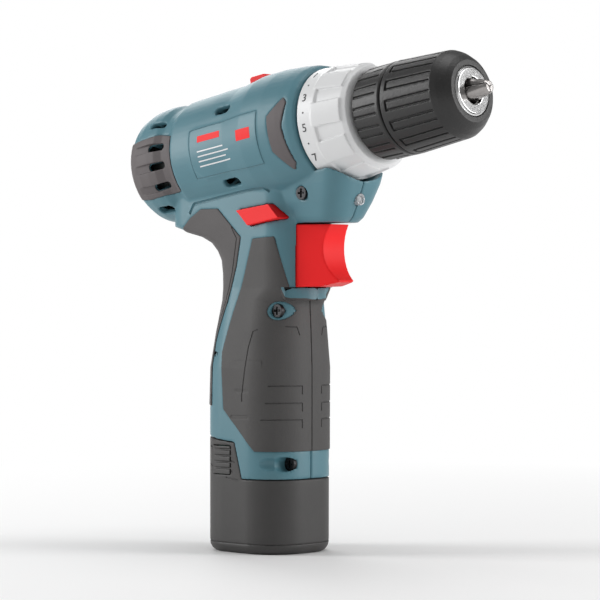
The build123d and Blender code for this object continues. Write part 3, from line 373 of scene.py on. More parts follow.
FINISHES: dict[Slot, Finish] = {
    Slot.TEAL: plastic("moulded teal", (0.085, 0.215, 0.262), roughness=0.43, grain_height=0.02,
                       mottle=0.07),
    Slot.GRIP: plastic("soft charcoal grip", (0.078, 0.075, 0.074), roughness=0.6, grain_height=0.035,
                       grain_scale=2200.0, wear=0.2, specular=0.4),
    Slot.BACKSTRAP: plastic("soft grey backstrap", (0.105, 0.098, 0.098), roughness=0.64, grain_height=0.06,
                            grain_scale=1500.0, wear=0.2, specular=0.4),
    Slot.TRIM: plastic("grey vent trim", (0.135, 0.12, 0.122), roughness=0.6, grain_height=0.03, wear=0.2,
                       specular=0.4),
    Slot.SCREW: metal("blackened screw", (0.045, 0.045, 0.047), 0.4),
    Slot.BLACK: plastic("black plastic", (0.018, 0.018, 0.02), roughness=0.4, mottle=0.1),
    Slot.LAMP: plastic("lamp lens", (0.86, 0.89, 0.92), roughness=0.16, transmission=0.6, mottle=0.05,
                       grain_height=0.002, wear=0.0),
    # The red's hollows take stronger painted shade than the default.
    Slot.RED: plastic("satin red", (0.93, 0.014, 0.016), roughness=0.46, grain_height=0.01, mottle=0.04,
                      wear=0.08, specular=0.2, grime=0.6),
    Slot.SPRING: metal("spring wire", (0.42, 0.42, 0.44), 0.3),
    Slot.CAN: metal("zinc plate", (0.52, 0.52, 0.5), 0.36),
    Slot.MAGNET: plastic("sintered magnet", (0.045, 0.045, 0.05), roughness=0.55, grain_height=0.02),
    Slot.CARBON: plastic("pressed carbon", (0.015, 0.015, 0.015), roughness=0.6),
    Slot.BRIGHT: metal("ground steel", (0.62, 0.61, 0.6), 0.24, anisotropic=0.4),
    Slot.IRON: plastic("varnished laminations", (0.19, 0.12, 0.07), roughness=0.42, grain_height=0.02),
    Slot.COPPER: metal("turned copper", (0.75, 0.33, 0.16), 0.28),
    Slot.GEAR: metal("sintered gear steel", (0.33, 0.33, 0.34), 0.44, grain_height=0.012),
    Slot.NYLON: plastic("glass-filled nylon", (0.06, 0.06, 0.064), roughness=0.5, grain_height=0.02),
    # The silver ring's hollows take lighter painted shade than the default.
    Slot.SILVER: plastic("silver-white ring", (0.74, 0.745, 0.75), roughness=0.36, grain_height=0.006,
                         mottle=0.03, wear=0.1, coat=0.1, grime=0.35),
    Slot.CHUCK: plastic("grained chuck plastic", (0.019, 0.0185, 0.0185), roughness=0.42, grain_height=0.09,
                        grain_scale=1300.0, wear=0.45, mottle=0.15),
    Slot.CHROME: metal("polished nose ring", (0.82, 0.82, 0.82), 0.13, anisotropic=0.3),
    Slot.BRASS: metal("plated contact", (0.72, 0.5, 0.2), 0.3),
    Slot.BATTERY: plastic("moulded battery charcoal", (0.062, 0.06, 0.059), roughness=0.52,
                          grain_height=0.03, grain_scale=2000.0, wear=0.25, specular=0.4),
    Slot.CELL: plastic("shrink sleeve", (0.04, 0.2, 0.16), roughness=0.25, coat=0.3, grain_height=0.004),
    Slot.RELEASE: plastic("release button", (0.05, 0.048, 0.047), roughness=0.5, grain_height=0.02),
    Slot.JAW: metal("ground jaw steel", (0.43, 0.41, 0.4), 0.3, grain_height=0.006),
}


# ---------------------------------------------------------------- mesh work
class Bench:
    """The hand tools that the pieces are made with."""

    @staticmethod
    def only(piece: bpy.types.Object) -> None:
        """Selects one piece and nothing else."""
        bpy.ops.object.select_all(action="DESELECT")
        piece.select_set(True)
        bpy.context.view_layer.objects.active = piece

    @classmethod
    def modify(cls, piece: bpy.types.Object, kind: str, **values: object) -> None:
        """Adds a modifier and applies it.

        Args:
            piece: the piece to change.
            kind: the modifier's type.
            **values: its settings.
        """
        cls.only(piece)
        modifier = piece.modifiers.new(kind.lower(), kind)
        for name, value in values.items():
            setattr(modifier, name, value)
        bpy.ops.object.modifier_apply(modifier=modifier.name)

    @classmethod
    def merge(cls, piece: bpy.types.Object, gap: float = 1e-6) -> None:
        """Joins doubled points and turns the faces outwards.

        Args:
            piece: the piece to clean.
            gap: how near two points are joined, in metres.
        """
        cls.only(piece)
        bpy.ops.object.mode_set(mode="EDIT")
        bpy.ops.mesh.select_all(action="SELECT")
        bpy.ops.mesh.remove_doubles(threshold=gap)
        bpy.ops.mesh.normals_make_consistent(inside=False)
        bpy.ops.object.mode_set(mode="OBJECT")

    @classmethod
    def settle(cls, piece: bpy.types.Object) -> None:
        """Moves a piece's place into its mesh."""
        cls.only(piece)
        bpy.ops.object.transform_apply(location=True, rotation=True, scale=True)

    @classmethod
    def smooth(cls, piece: bpy.types.Object, angle: float = 35.0) -> None:
        """Smooth shading, with edges over that angle kept sharp."""
        cls.only(piece)
        bpy.ops.object.shade_smooth_by_angle(angle=math.radians(angle))

    @classmethod
    def cut(cls, piece: bpy.types.Object, cutter: bpy.types.Object, kind: str = "DIFFERENCE") -> None:
        """Cuts a piece with another, which is used up.

        Args:
            piece: the piece that stays.
            cutter: the closed shape that is taken away or added.
            kind: the boolean operation.
        """
        cls.modify(piece, "BOOLEAN", operation=kind, solver="MANIFOLD", object=cutter)
        bpy.data.objects.remove(cutter, do_unlink=True)

    @staticmethod
    def barrel(t: float, angle: float, radius: float) -> Vector:
        """A point round the barrel, in metres.

        Args:
            t: distance along the spindle.
            angle: degrees round it.
            radius: distance from it.

        Returns:
            The point in the tool's frame.
        """
        turn = math.radians(angle)
        return Bench.barrel_frame() @ (Vector((t, -radius * math.cos(turn), radius * math.sin(turn))) * MM)

    @staticmethod
    def barrel_frame() -> Matrix:
        """The barrel's frame: x along the spindle, y to the tool's left."""
        pitch = Matrix.Rotation(math.radians(-BARREL_PITCH), 4, "Y")
        return Matrix.Translation((0, 0, BARREL_HEIGHT * MM)) @ pitch

    @classmethod
    def laid_on(cls, piece: bpy.types.Object, points: list[Vector], step: float = 0.9) -> list[Vector]:
        """A line of points laid on a piece's surface.

        Args:
            piece: the piece that it follows.
            points: its corners, near the surface, in metres.
            step: spacing of the points laid, in millimetres.

        Returns:
            The points on the surface.
        """
        laid: list[Vector] = []
        for start, end in zip(points, points[1:]):
            parts = max(1, round((end - start).length / (step * MM)))
            laid += [start.lerp(end, k / parts) for k in range(parts)]
        laid.append(points[-1])
        found: list[Vector] = []
        for point in laid:
            out = cls.outward(point)
            hit, place, _, _ = piece.ray_cast(point + out * RAY_START * MM, -out, distance=RAY_LENGTH * MM)
            if hit:
                found.append(place)
        return found

    @staticmethod
    def outward(point: Vector) -> Vector:
        """The way out of the drill at a point.

        Args:
            point: a point near the surface, in metres.

        Returns:
            The unit vector away from the spindle on the barrel, or from the middle of the handle.
        """
        turn = math.radians(BARREL_PITCH)
        along = Vector((math.cos(turn), 0.0, math.sin(turn)))
        start = Vector((0.0, 0.0, BARREL_HEIGHT * MM))
        out = point - start - along * (point - start).dot(along)
        if out.length > BARREL_REACH * MM:
            out = Vector((point.x, point.y, 0.0))
        return out.normalized()

    @classmethod
    def engrave(cls, piece: bpy.types.Object, points: list[Vector], radius: float) -> None:
        """Engraves a round-bottomed line in a piece.

        Args:
            piece: the piece to engrave.
            points: the line's corners, near the surface, in metres.
            radius: half the line's width, in millimetres.
        """
        path = cls.laid_on(piece, points)
        curve = bpy.data.curves.new("line", "CURVE")
        curve.dimensions = "3D"
        spline = curve.splines.new("POLY")
        spline.points.add(len(path) - 1)
        for slot, point in zip(spline.points, path):
            slot.co = (*point, 1.0)
        curve.bevel_depth = radius * MM
        curve.bevel_resolution = 2
        curve.use_fill_caps = True
        tube = bpy.data.objects.new("line", curve)
        bpy.context.collection.objects.link(tube)
        cls.only(tube)
        bpy.ops.object.convert(target="MESH")
        cls.merge(tube)
        cls.cut(piece, tube)


@dataclass
class Moulding:
    """A piece with rounded edges, moulded on the shape of a CAD node."""

    node: str
    slot: Slot
    body: str = "tool"
    voxel: float = 0.3
    rounds: int = 5
    triangles: int = 60000

    def build(self, frame: dict) -> bpy.types.Object:
        """Makes the piece's closed, softened mesh.

        Args:
            frame: the loaded CAD frame.

        Returns:
            The new object, at the origin.
        """
        mesh = frame["nodes"][self.node].data.copy()
        mesh.materials.clear()
        piece = bpy.data.objects.new(self.node + "_skin", mesh)
        bpy.context.collection.objects.link(piece)
        Bench.merge(piece)
        coarse = 1.0
        Bench.modify(piece, "REMESH", mode="VOXEL", voxel_size=self.voxel * coarse * MM)
        Bench.modify(piece, "SMOOTH", factor=0.5, iterations=max(2, round(self.rounds / coarse ** 2)))
        count = sum(len(face.vertices) - 2 for face in piece.data.polygons)
        if count > self.triangles:
            Bench.modify(piece, "DECIMATE", ratio=self.triangles / count)
        bpy.context.view_layer.update()
        return piece

    def dress(self, piece: bpy.types.Object, materials: dict[Slot, bpy.types.Material]) -> None:
        """Shades the piece, gives it its material and hangs it on its body.

        Args:
            piece: the finished mesh.
            materials: the material of each slot.
        """
        Bench.smooth(piece)
        piece.data.materials.clear()
        piece.data.materials.append(materials[self.slot])
        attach(piece, self.body)
        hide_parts(self.node)
        log.info("%s: %d faces", piece.name, len(piece.data.polygons))


def added(piece: bpy.types.Object, slot: Slot, body: str, materials: dict[Slot, bpy.types.Material]) -> None:
    """Dresses a piece that stands beside the CAD nodes.

    Args:
        piece: the finished mesh.
        slot: its material slot.
        body: the body that it rides on.
        materials: the material of each slot.
    """
    Bench.settle(piece)
    piece.data.materials.clear()
    piece.data.materials.append(materials[slot])
    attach(piece, body)
    log.info("%s: %d faces", piece.name, len(piece.data.polygons))


# ---------------------------------------------------------------- sub-assemblies
@dataclass
class Housing:
    """The two teal half shells, with their creases, and the prints on the right one."""

    crease_radius: float = 0.7
    crease_reach: float = 25.0
    panel_line: float = 0.22
    panel_reach: float = 26.5
    panel: tuple[tuple[float, float], ...] = ((-21.0, 18.5), (19.0, 18.5), (19.0, -27.5), (-21.0, -27.5),
                                              (-21.0, 18.5))
    shelf_round: float = 13.3
    shelf_middle: float = 102.9
    shelf_block: Point = (20.0, 40.0, 6.7)
    screw_slot: Point = (17.6, 18.2, 36.0)
    screw_slot_radius: float = 2.9
    screw_slot_turn: float = 52.0
    lower_crease: tuple[tuple[float, float], ...] = ((-33.0, -55.0), (-30.0, -50.5), (10.5, -50.0),
                                                     (13.0, -54.0))
    bars: tuple[tuple[float, float, float, float], ...] = (
        (-9.0, -1.4, 15.0, 0.5), (-7.5, -3.4, 18.0, 0.5), (-8.5, -5.4, 16.0, 0.5), (-7.5, -7.4, 18.0, 0.5))
    badge: tuple[float, float, float, float] = (11.5, 0.6, 8.0, 4.4)
    banner: tuple[float, float, float, float] = (-9.5, 3.6, 13.0, 2.6)
    bar_corner: float = 0.22
    bar_lift: float = 0.03
    bar_thickness: float = 0.05

    def build(self, frame: dict, materials: dict[Slot, bpy.types.Material]) -> None:
        """Builds both shells and the prints.

        Args:
            frame: the loaded CAD frame.
            materials: the material of each slot.
        """
        for side, node in ((Side.RIGHT, "right_housing"), (Side.LEFT, "left_housing")):
            form = Moulding(node, Slot.TEAL, voxel=0.5, rounds=4, triangles=150000)
            shell = form.build(frame)
            self.creases(shell, side)
            self.screw_recess(shell, side)
            self.shelf(shell)
            form.dress(shell, materials)
            if side is Side.RIGHT:
                self.prints(shell, materials)

    def creases(self, shell: bpy.types.Object, side: Side) -> None:
        """Engraves the soft crease under the barrel, and the label panel's outline on the right.

        Args:
            shell: the half shell.
            side: which one it is.
        """
        line = [Bench.barrel(t, side.around(angle), self.crease_reach) for t, angle in self.lower_crease]
        Bench.engrave(shell, line, self.crease_radius)
        if side is Side.RIGHT:
            outline = [Bench.barrel(t, angle, self.panel_reach) for t, angle in self.panel]
            Bench.engrave(shell, outline, self.panel_line)

    @classmethod
    def shelf(cls, piece: bpy.types.Object) -> None:
        """Rounds the front of the small shelf under the trigger.

        Args:
            piece: the half shell, or the grip below it.
        """
        bpy.ops.object.select_all(action="DESELECT")
        bpy.ops.mesh.primitive_cube_add(size=MM, location=(30.0 * MM, 0, cls.shelf_middle * MM))
        block = bpy.context.object
        block.scale = cls.shelf_block
        Bench.settle(block)
        bpy.ops.mesh.primitive_cylinder_add(vertices=96, radius=cls.shelf_round * MM, depth=12.0 * MM,
                                            location=(cls.shelf_round * MM, 0, cls.shelf_middle * MM))
        core = bpy.context.object
        Bench.settle(core)
        Bench.cut(block, core)
        Bench.cut(piece, block)

    def screw_recess(self, shell: bpy.types.Object, side: Side) -> None:
        """Sinks the long hollow behind the lowest screw.

        Args:
            shell: the half shell.
            side: which one it is.
        """
        x, y, z = self.screw_slot
        bpy.ops.object.select_all(action="DESELECT")
        bpy.ops.mesh.primitive_uv_sphere_add(segments=32, ring_count=16, radius=self.screw_slot_radius * MM)
        hollow = bpy.context.object
        hollow.scale = (1.0, 2.1, 1.0)
        hollow.rotation_euler = (0, 0, math.radians(side.value * self.screw_slot_turn))
        hollow.location = (x * MM, side.value * y * MM, z * MM)
        Bench.settle(hollow)
        Bench.cut(shell, hollow)

    def print_bar(self, shell: bpy.types.Object, spec: tuple[float, float, float, float],
                  name: str) -> bpy.types.Object:
        """A thin printed bar that follows the shell.

        Args:
            shell: the half shell that it is printed on.
            spec: its middle (t, height), length and width on the barrel.
            name: the piece's name.

        Returns:
            The bar.
        """
        t, height, length, width = spec
        bpy.ops.object.select_all(action="DESELECT")
        bpy.ops.mesh.primitive_plane_add(size=MM)
        bar = bpy.context.object
        bar.name = name
        bar.scale = (length, width, 1.0)
        bar.rotation_euler = (math.radians(90), 0, 0)
        bar.location = (t * MM, -30.0 * MM, height * MM)
        Bench.settle(bar)
        bpy.ops.object.mode_set(mode="EDIT")
        bpy.ops.mesh.select_all(action="SELECT")
        bpy.ops.mesh.bevel(offset=min(self.bar_corner, width / 4) * MM, segments=3, affect="VERTICES")
        bpy.ops.mesh.select_all(action="SELECT")
        bpy.ops.mesh.quads_convert_to_tris()
        bpy.ops.mesh.subdivide(number_cuts=5)
        bpy.ops.object.mode_set(mode="OBJECT")
        bar.data.transform(Bench.barrel_frame())
        Bench.modify(bar, "SHRINKWRAP", target=shell, wrap_method="PROJECT", use_project_y=True,
                     use_positive_direction=True, use_negative_direction=False,
                     offset=self.bar_lift * MM)
        Bench.modify(bar, "SOLIDIFY", thickness=self.bar_thickness * MM, offset=0.0)
        return bar

    def prints(self, shell: bpy.types.Object, materials: dict[Slot, bpy.types.Material]) -> None:
        """Prints the plain bars on the label panel.

        Args:
            shell: the right half shell.
            materials: the material of each slot.
        """
        for index, spec in enumerate(self.bars):
            added(self.print_bar(shell, spec, f"label_line_{index + 1}"), Slot.SILVER, "tool", materials)
        added(self.print_bar(shell, self.badge, "label_badge"), Slot.RED, "tool", materials)
        added(self.print_bar(shell, self.banner, "label_banner"), Slot.RED, "tool", materials)


@dataclass
class Overmoulds:
    """The soft skins: grips, backstraps, vent trims and nose pads."""

    line: float = 0.3
    bars: tuple[tuple[float, float], ...] = ((16.5, 67.0), (15.0, 60.2), (12.8, 53.6))
    bar_drop: float = 3.3
    bar_rear: float = 17.8
    bar_corner: tuple[float, float] = (20.4, 13.6)
    bar_front: tuple[float, float] = (23.4, 5.5)
    filler_place: Point = (6.5, 20.0, 65.0)
    filler_size: Point = (17.0, 1.7, 24.0)
    relief: tuple[Point, ...] = ((11.7, 18.6, 89.4), (9.7, 19.4, 88.7), (7.8, 20.2, 82.3), (5.0, 20.7, 63.5),
                                 (5.0, 20.7, 60.7))
    hook: tuple[Point, ...] = ((21.0, 12.1, 90.7), (22.9, 7.6, 90.4), (23.2, 6.4, 87.1))
    strap: tuple[Point, ...] = ((-7.7, 20.6, 133.0), (-2.2, 19.5, 126.0), (-4.8, 18.5, 112.0),
                                (-10.4, 18.5, 97.0), (-17.4, 17.0, 84.0), (-18.4, 15.5, 63.0))

    @staticmethod
    def mirrored(points: tuple[Point, ...], side: Side) -> list[Vector]:
        """Points of the given side, in metres."""
        return [Vector((x, side.value * y, z)) * MM for x, y, z in points]

    def grip(self, frame: dict, side: Side) -> tuple[Moulding, bpy.types.Object]:
        """One side of the grip, with its relief lines.

        Args:
            frame: the loaded CAD frame.
            side: which one it is.

        Returns:
            The moulding and its mesh.
        """
        form = Moulding(f"{side.name.lower()}_grip", Slot.GRIP, voxel=0.27, rounds=4, triangles=90000)
        piece = form.build(frame)
        self.fill_bars(piece, side)
        for x, z in self.bars:
            line = ((x, self.bar_rear, z), (*self.bar_corner, z + 0.1), (*self.bar_front, z),
                    (*self.bar_front, z - self.bar_drop))
            Bench.engrave(piece, self.mirrored(line, side), self.line)
        Housing.shelf(piece)
        Bench.engrave(piece, self.mirrored(self.relief, side), self.line)
        Bench.engrave(piece, self.mirrored(self.hook, side), self.line)
        return form, piece

    def fill_bars(self, piece: bpy.types.Object, side: Side) -> None:
        """Fills the grip's sunken bars up to its flank.

        Args:
            piece: the grip.
            side: which one it is.
        """
        bpy.ops.object.select_all(action="DESELECT")
        x, y, z = self.filler_place
        bpy.ops.mesh.primitive_cube_add(size=MM, location=(x * MM, side.value * y * MM, z * MM))
        filler = bpy.context.object
        filler.scale = self.filler_size
        Bench.settle(filler)
        hull = piece.copy()
        hull.data = piece.data.copy()
        bpy.context.collection.objects.link(hull)
        Bench.only(hull)
        bpy.ops.object.mode_set(mode="EDIT")
        bpy.ops.mesh.select_all(action="SELECT")
        bpy.ops.mesh.convex_hull()
        bpy.ops.object.mode_set(mode="OBJECT")
        Bench.cut(filler, hull, "INTERSECT")
        Bench.cut(piece, filler, "UNION")

    def build(self, frame: dict, materials: dict[Slot, bpy.types.Material]) -> None:
        """Builds every skin.

        Args:
            frame: the loaded CAD frame.
            materials: the material of each slot.
        """
        for side in Side:
            form, piece = self.grip(frame, side)
            form.dress(piece, materials)
            form = Moulding(f"{side.name.lower()}_backstrap", Slot.BACKSTRAP, voxel=0.27, rounds=4)
            piece = form.build(frame)
            Bench.engrave(piece, self.mirrored(self.strap, side), self.line)
            form.dress(piece, materials)
            form = Moulding(f"{side.name.lower()}_vent_trim", Slot.TRIM, voxel=0.25, rounds=3,
                            triangles=50000)
            form.dress(form.build(frame), materials)
        form = Moulding("nose_pads", Slot.TRIM, voxel=0.25, rounds=3, triangles=30000)
        form.dress(form.build(frame), materials)


@dataclass
class Controls:
    """The trigger, both selectors, the work light and the screws."""

    finger_front: float = 35.6
    finger_radius: float = 15.0
    finger_height: float = 121.5
    finger_taper: float = 17.2
    taper_place: Point = (30.0, 8.05, 118.0)
    taper_block: Point = (40.0, 20.0, 60.0)
    cheek_place: Point = (29.9, 6.1, 118.8)
    cheek_size: Point = (8.6, 4.6, 22.4)

    def build(self, frame: dict, materials: dict[Slot, bpy.types.Material]) -> None:
        """Builds each control.

        Args:
            frame: the loaded CAD frame.
            materials: the material of each slot.
        """
        forms = (
            Moulding("trigger", Slot.RED, "trigger", voxel=0.3, rounds=6, triangles=50000),
            Moulding("direction_selector", Slot.RED, "direction_selector", voxel=0.25, triangles=40000),
            Moulding("speed_selector", Slot.RED, "speed_selector", voxel=0.2, rounds=4, triangles=40000),
            Moulding("work_light", Slot.LAMP, voxel=0.12, rounds=3, triangles=12000),
            Moulding("housing_screws", Slot.SCREW, voxel=0.2, rounds=2, triangles=60000),
        )
        for form in forms:
            piece = form.build(frame)
            if form.node == "trigger":
                self.finger(piece)
            form.dress(piece, materials)

    def finger(self, piece: bpy.types.Object) -> None:
        """Hollows the trigger's front for a finger and draws its sides in.

        Args:
            piece: the trigger.
        """
        bpy.ops.object.select_all(action="DESELECT")
        for side in Side:
            x, y, z = self.cheek_place
            bpy.ops.mesh.primitive_cube_add(size=MM, location=(x * MM, side.value * y * MM, z * MM))
            cheek = bpy.context.object
            cheek.scale = self.cheek_size
            Bench.settle(cheek)
            Bench.cut(piece, cheek, "UNION")
        radius = self.finger_radius
        bpy.ops.mesh.primitive_cylinder_add(vertices=128, radius=radius * MM, depth=40.0 * MM,
                                            location=((self.finger_front + radius) * MM, 0,
                                                      self.finger_height * MM),
                                            rotation=(math.radians(90), 0, 0))
        hollow = bpy.context.object
        Bench.settle(hollow)
        Bench.cut(piece, hollow)
        turn = math.radians(self.finger_taper)
        for side in Side:
            out = Vector((math.sin(turn), side.value * math.cos(turn), 0.0))
            x, y, z = self.taper_place
            middle = Vector((x, side.value * y, z)) + out * self.taper_block[1] / 2
            bpy.ops.mesh.primitive_cube_add(size=MM, location=middle * MM,
                                            rotation=(0, 0, -side.value * turn))
            wedge = bpy.context.object
            wedge.scale = self.taper_block
            Bench.settle(wedge)
            Bench.cut(piece, wedge)
        Bench.modify(piece, "REMESH", mode="VOXEL", voxel_size=0.28 * MM)
        Bench.modify(piece, "SMOOTH", factor=0.5, iterations=8)


@dataclass
class ClutchRing:
    """The silver ring with its printed numbers and dots."""

    first_angle: float = 54.5
    spacing: float = 30.6
    numbers: tuple[int, ...] = (1, 3, 5, 7, 9, 11, 13, 15, 17)
    number_t: float = 41.2
    number_height: float = 4.6
    dot_radius: float = 0.38
    ring_radius: float = 23.0

    def seat(self, ring: bpy.types.Object, t: float, angle: float) -> Matrix:
        """A frame on the ring's surface: x forward, z outwards.

        Args:
            ring: the ring.
            t: distance along the spindle.
            angle: degrees round it.

        Returns:
            The frame.
        """
        outer = Bench.barrel(t, angle, 40.0)
        axis = Bench.barrel(t, angle, 0.0)
        hit, place, _, _ = ring.ray_cast(outer, (axis - outer).normalized())
        if not hit:
            place = Bench.barrel(t, angle, self.ring_radius)
        forward = Bench.barrel_frame().to_3x3() @ Vector((1, 0, 0))
        out = (outer - axis).normalized()
        up = out.cross(forward)
        turned = Matrix((forward, up, out)).transposed().to_4x4()
        return Matrix.Translation(place) @ turned

    def number(self, text: str) -> bpy.types.Object:
        """One printed number as a thin mesh.

        Args:
            text: the number.

        Returns:
            The new object, at the origin.
        """
        bpy.ops.object.select_all(action="DESELECT")
        bpy.ops.object.text_add()
        digit = bpy.context.object
        digit.data.body = text
        digit.data.size = self.number_height * MM
        digit.data.align_x = "CENTER"
        digit.data.align_y = "CENTER"
        digit.data.extrude = 0.07 * MM
        digit.data.offset = 0.02 * MM
        bpy.ops.object.convert(target="MESH")
        Bench.merge(digit, 1e-7)
        return digit

    def dot(self) -> bpy.types.Object:
        """One printed dot, with a rounded rim.

        Returns:
            The new object, at the origin.
        """
        bpy.ops.object.select_all(action="DESELECT")
        bpy.ops.mesh.primitive_cylinder_add(vertices=24, radius=self.dot_radius * MM, depth=0.14 * MM)
        dot = bpy.context.object
        Bench.modify(dot, "BEVEL", width=0.04 * MM, segments=2)
        return dot

    def build(self, frame: dict, materials: dict[Slot, bpy.types.Material]) -> None:
        """Builds the ring and its print.

        Args:
            frame: the loaded CAD frame.
            materials: the material of each slot.
        """
        form = Moulding("clutch_ring", Slot.SILVER, "clutch_ring", voxel=0.26, rounds=4, triangles=140000)
        ring = form.build(frame)
        prints: list[bpy.types.Object] = []
        for index, value in enumerate(self.numbers):
            angle = self.first_angle - self.spacing * index
            for mark, place in ((self.number(str(value)), angle), (self.dot(), angle - self.spacing / 2)):
                mark.data.transform(self.seat(ring, self.number_t, place))
                prints.append(mark)
        bpy.ops.object.select_all(action="DESELECT")
        for mark in prints:
            mark.select_set(True)
        bpy.context.view_layer.objects.active = prints[0]
        bpy.ops.object.join()
        prints[0].name = "clutch_numbers"
        added(prints[0], Slot.BLACK, "clutch_ring", materials)
        form.dress(ring, materials)


@dataclass
class Chuck:
    """The keyless chuck: two ribbed sleeves, the bright nose ring and the jaws."""

    def build(self, frame: dict, materials: dict[Slot, bpy.types.Material]) -> None:
        """Builds each visible piece.

        Args:
            frame: the loaded CAD frame.
            materials: the material of each slot.
        """
        forms = [
            Moulding("chuck_collar", Slot.CHUCK, "spindle", voxel=0.2, rounds=4, triangles=150000),
            Moulding("chuck_sleeve", Slot.CHUCK, "sleeve", voxel=0.2, rounds=4, triangles=190000),
            Moulding("chuck_nose_ring", Slot.CHROME, "spindle", voxel=0.12, rounds=4, triangles=60000),
        ]
        forms += [Moulding(f"jaw_{k}", Slot.JAW, f"jaw_{k}", voxel=0.13, rounds=2, triangles=30000)
                  for k in (1, 2, 3)]
        for form in forms:
            form.dress(form.build(frame), materials)


@dataclass
class Battery:
    """The battery's case, foot and release buttons."""

    line: float = 0.32
    ribs: tuple[tuple[Point, Point], ...] = (
        ((-16.5, 18.0, 42.4), (-2.1, 20.7, 39.8)), ((-4.4, 20.7, 37.5), (0.8, 20.7, 36.4)),
        ((-16.5, 18.0, 35.0), (-0.2, 20.7, 32.5)), ((-4.1, 20.7, 30.2), (2.4, 20.7, 29.3)))

    def build(self, frame: dict, materials: dict[Slot, bpy.types.Material]) -> None:
        """Builds each visible piece.

        Args:
            frame: the loaded CAD frame.
            materials: the material of each slot.
        """
        form = Moulding("battery_case", Slot.BATTERY, "battery", voxel=0.42, rounds=4, triangles=170000)
        case = form.build(frame)
        for side in Side:
            for start, end in self.ribs:
                Bench.engrave(case, Overmoulds.mirrored((start, end), side), self.line)
        form.dress(case, materials)
        forms = (
            Moulding("battery_foot", Slot.BATTERY, "battery", voxel=0.4, rounds=4, triangles=80000),
            Moulding("right_release", Slot.RELEASE, "right_release", voxel=0.15, rounds=3, triangles=20000),
            Moulding("left_release", Slot.RELEASE, "left_release", voxel=0.15, rounds=3, triangles=20000),
        )
        for form in forms:
            form.dress(form.build(frame), materials)


class Insides:
    """Every CAD node that is shown as it is."""

    @staticmethod
    def dress(frame: dict, materials: dict[Slot, bpy.types.Material]) -> None:
        """Gives each node's material slots the finish of its record slot.

        Args:
            frame: the loaded CAD frame.
            materials: the material of each slot.
        """
        slots = {item["node"]: Slot(item["material_slot"]) for item in frame["record"]["subparts"]}
        for name, node in frame["nodes"].items():
            for place in node.material_slots:
                place.material = materials[slots[name]]


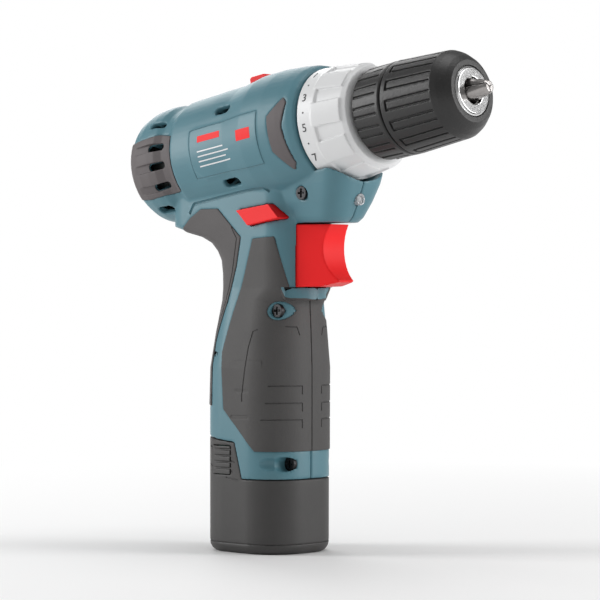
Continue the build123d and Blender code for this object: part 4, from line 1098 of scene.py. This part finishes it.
@dataclass
class Studio:
    """A pale sweep, soft lights and the camera."""

    azimuth: float = 43.5
    distance: float = 1.0
    height: float = 0.1012
    shift: float = 0.01245
    focal: float = 147.9
    fade: float = 0.55
    room: float = 0.3
    lights: dict[str, tuple[Point, float, float, float]] = field(default_factory=lambda: {
        "key": ((-0.95, -0.85, 0.55), 0.5, 0.9, 11.0),
        "front": ((1.0, 0.65, 0.4), 0.5, 0.9, 8.5),
        "top": ((0.1, 0.1, 1.2), 0.7, 0.7, 4.0),
        "rim": ((-0.9, 0.6, 0.5), 0.5, 0.9, 4.0),
    })

    def look(self) -> tuple[Vector, Vector]:
        """The way that the camera looks and its right-hand side.

        Returns:
            Both as unit vectors.
        """
        turn = math.radians(self.azimuth)
        ahead = Vector((-math.sin(turn), math.cos(turn), 0.0))
        return ahead, Vector((math.cos(turn), math.sin(turn), 0.0))

    def camera(self) -> None:
        """Sets the camera up."""
        look, right = self.look()
        data = bpy.data.cameras.new("camera")
        data.lens = self.focal
        data.sensor_width = 36.0
        data.clip_start = 0.05
        data.clip_end = 50.0
        camera = bpy.data.objects.new("camera", data)
        bpy.context.collection.objects.link(camera)
        camera.location = -look * self.distance + right * self.shift + Vector((0, 0, self.height))
        camera.rotation_mode = "QUATERNION"
        camera.rotation_quaternion = look.to_track_quat("-Z", "Y")
        bpy.context.scene.camera = camera

    def sweep(self) -> None:
        """The pale floor, which the drill stands on."""
        bpy.ops.object.select_all(action="DESELECT")
        bpy.ops.mesh.primitive_plane_add(size=24.0)
        floor = bpy.context.object
        floor.name = "floor"
        material = bpy.data.materials.new("pale floor")
        material.use_nodes = True
        tree = material.node_tree
        shader = tree.nodes["Principled BSDF"]
        shader.inputs["Base Color"].default_value = (0.88, 0.88, 0.88, 1.0)
        shader.inputs["Roughness"].default_value = 0.8
        shader.inputs["Specular IOR Level"].default_value = 0.1
        reach = tree.nodes.new("ShaderNodeVectorMath")
        reach.operation = "LENGTH"
        fade = tree.nodes.new("ShaderNodeMapRange")
        fade.inputs["From Min"].default_value = 0.1
        fade.inputs["From Max"].default_value = self.fade
        glow = tree.nodes.new("ShaderNodeEmission")
        mix = tree.nodes.new("ShaderNodeMixShader")
        tree.links.new(tree.nodes.new("ShaderNodeTexCoord").outputs["Object"], reach.inputs[0])
        tree.links.new(reach.outputs["Value"], fade.inputs["Value"])
        tree.links.new(fade.outputs["Result"], mix.inputs[0])
        tree.links.new(shader.outputs[0], mix.inputs[1])
        tree.links.new(glow.outputs[0], mix.inputs[2])
        tree.links.new(mix.outputs[0], tree.nodes["Material Output"].inputs["Surface"])
        floor.data.materials.append(material)

    def lamps(self) -> None:
        """The soft boxes, each turned to the drill, and the room's light."""
        aim = Vector((0.01, 0.0, 0.11))
        for name, (place, width, height, power) in self.lights.items():
            data = bpy.data.lights.new(name, "AREA")
            data.shape = "RECTANGLE"
            data.size = width
            data.size_y = height
            data.energy = power
            lamp = bpy.data.objects.new(name, data)
            bpy.context.collection.objects.link(lamp)
            lamp.location = place
            lamp.rotation_mode = "QUATERNION"
            lamp.rotation_quaternion = (aim - Vector(place)).to_track_quat("-Z", "Y")
        world = bpy.data.worlds.new("room")
        world.use_nodes = True
        tree = world.node_tree
        tree.nodes["Background"].inputs["Color"].default_value = (1.0, 1.0, 1.0, 1.0)
        seen = tree.nodes.new("ShaderNodeMapRange")
        seen.inputs["To Min"].default_value = self.room
        tree.links.new(tree.nodes.new("ShaderNodeLightPath").outputs["Is Camera Ray"], seen.inputs["Value"])
        tree.links.new(seen.outputs["Result"], tree.nodes["Background"].inputs["Strength"])
        bpy.context.scene.world = world
        bpy.context.scene.view_settings.view_transform = "Standard"

    def build(self) -> None:
        """Builds the whole studio."""
        self.camera()
        self.sweep()
        self.lamps()


def main() -> None:
    """Builds the drill's looks in order."""
    logging.basicConfig(level=logging.INFO, format="%(message)s")
    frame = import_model()
    groups = SharedGroups()
    materials = {slot: finish.material(groups) for slot, finish in FINISHES.items()}
    Insides.dress(frame, materials)
    Studio().build()
    for assembly in (Housing(), Overmoulds(), Controls(), ClutchRing(), Chuck(), Battery()):
        assembly.build(frame, materials)
        log.info("%s built", type(assembly).__name__)


if __name__ == "__main__":
    main()
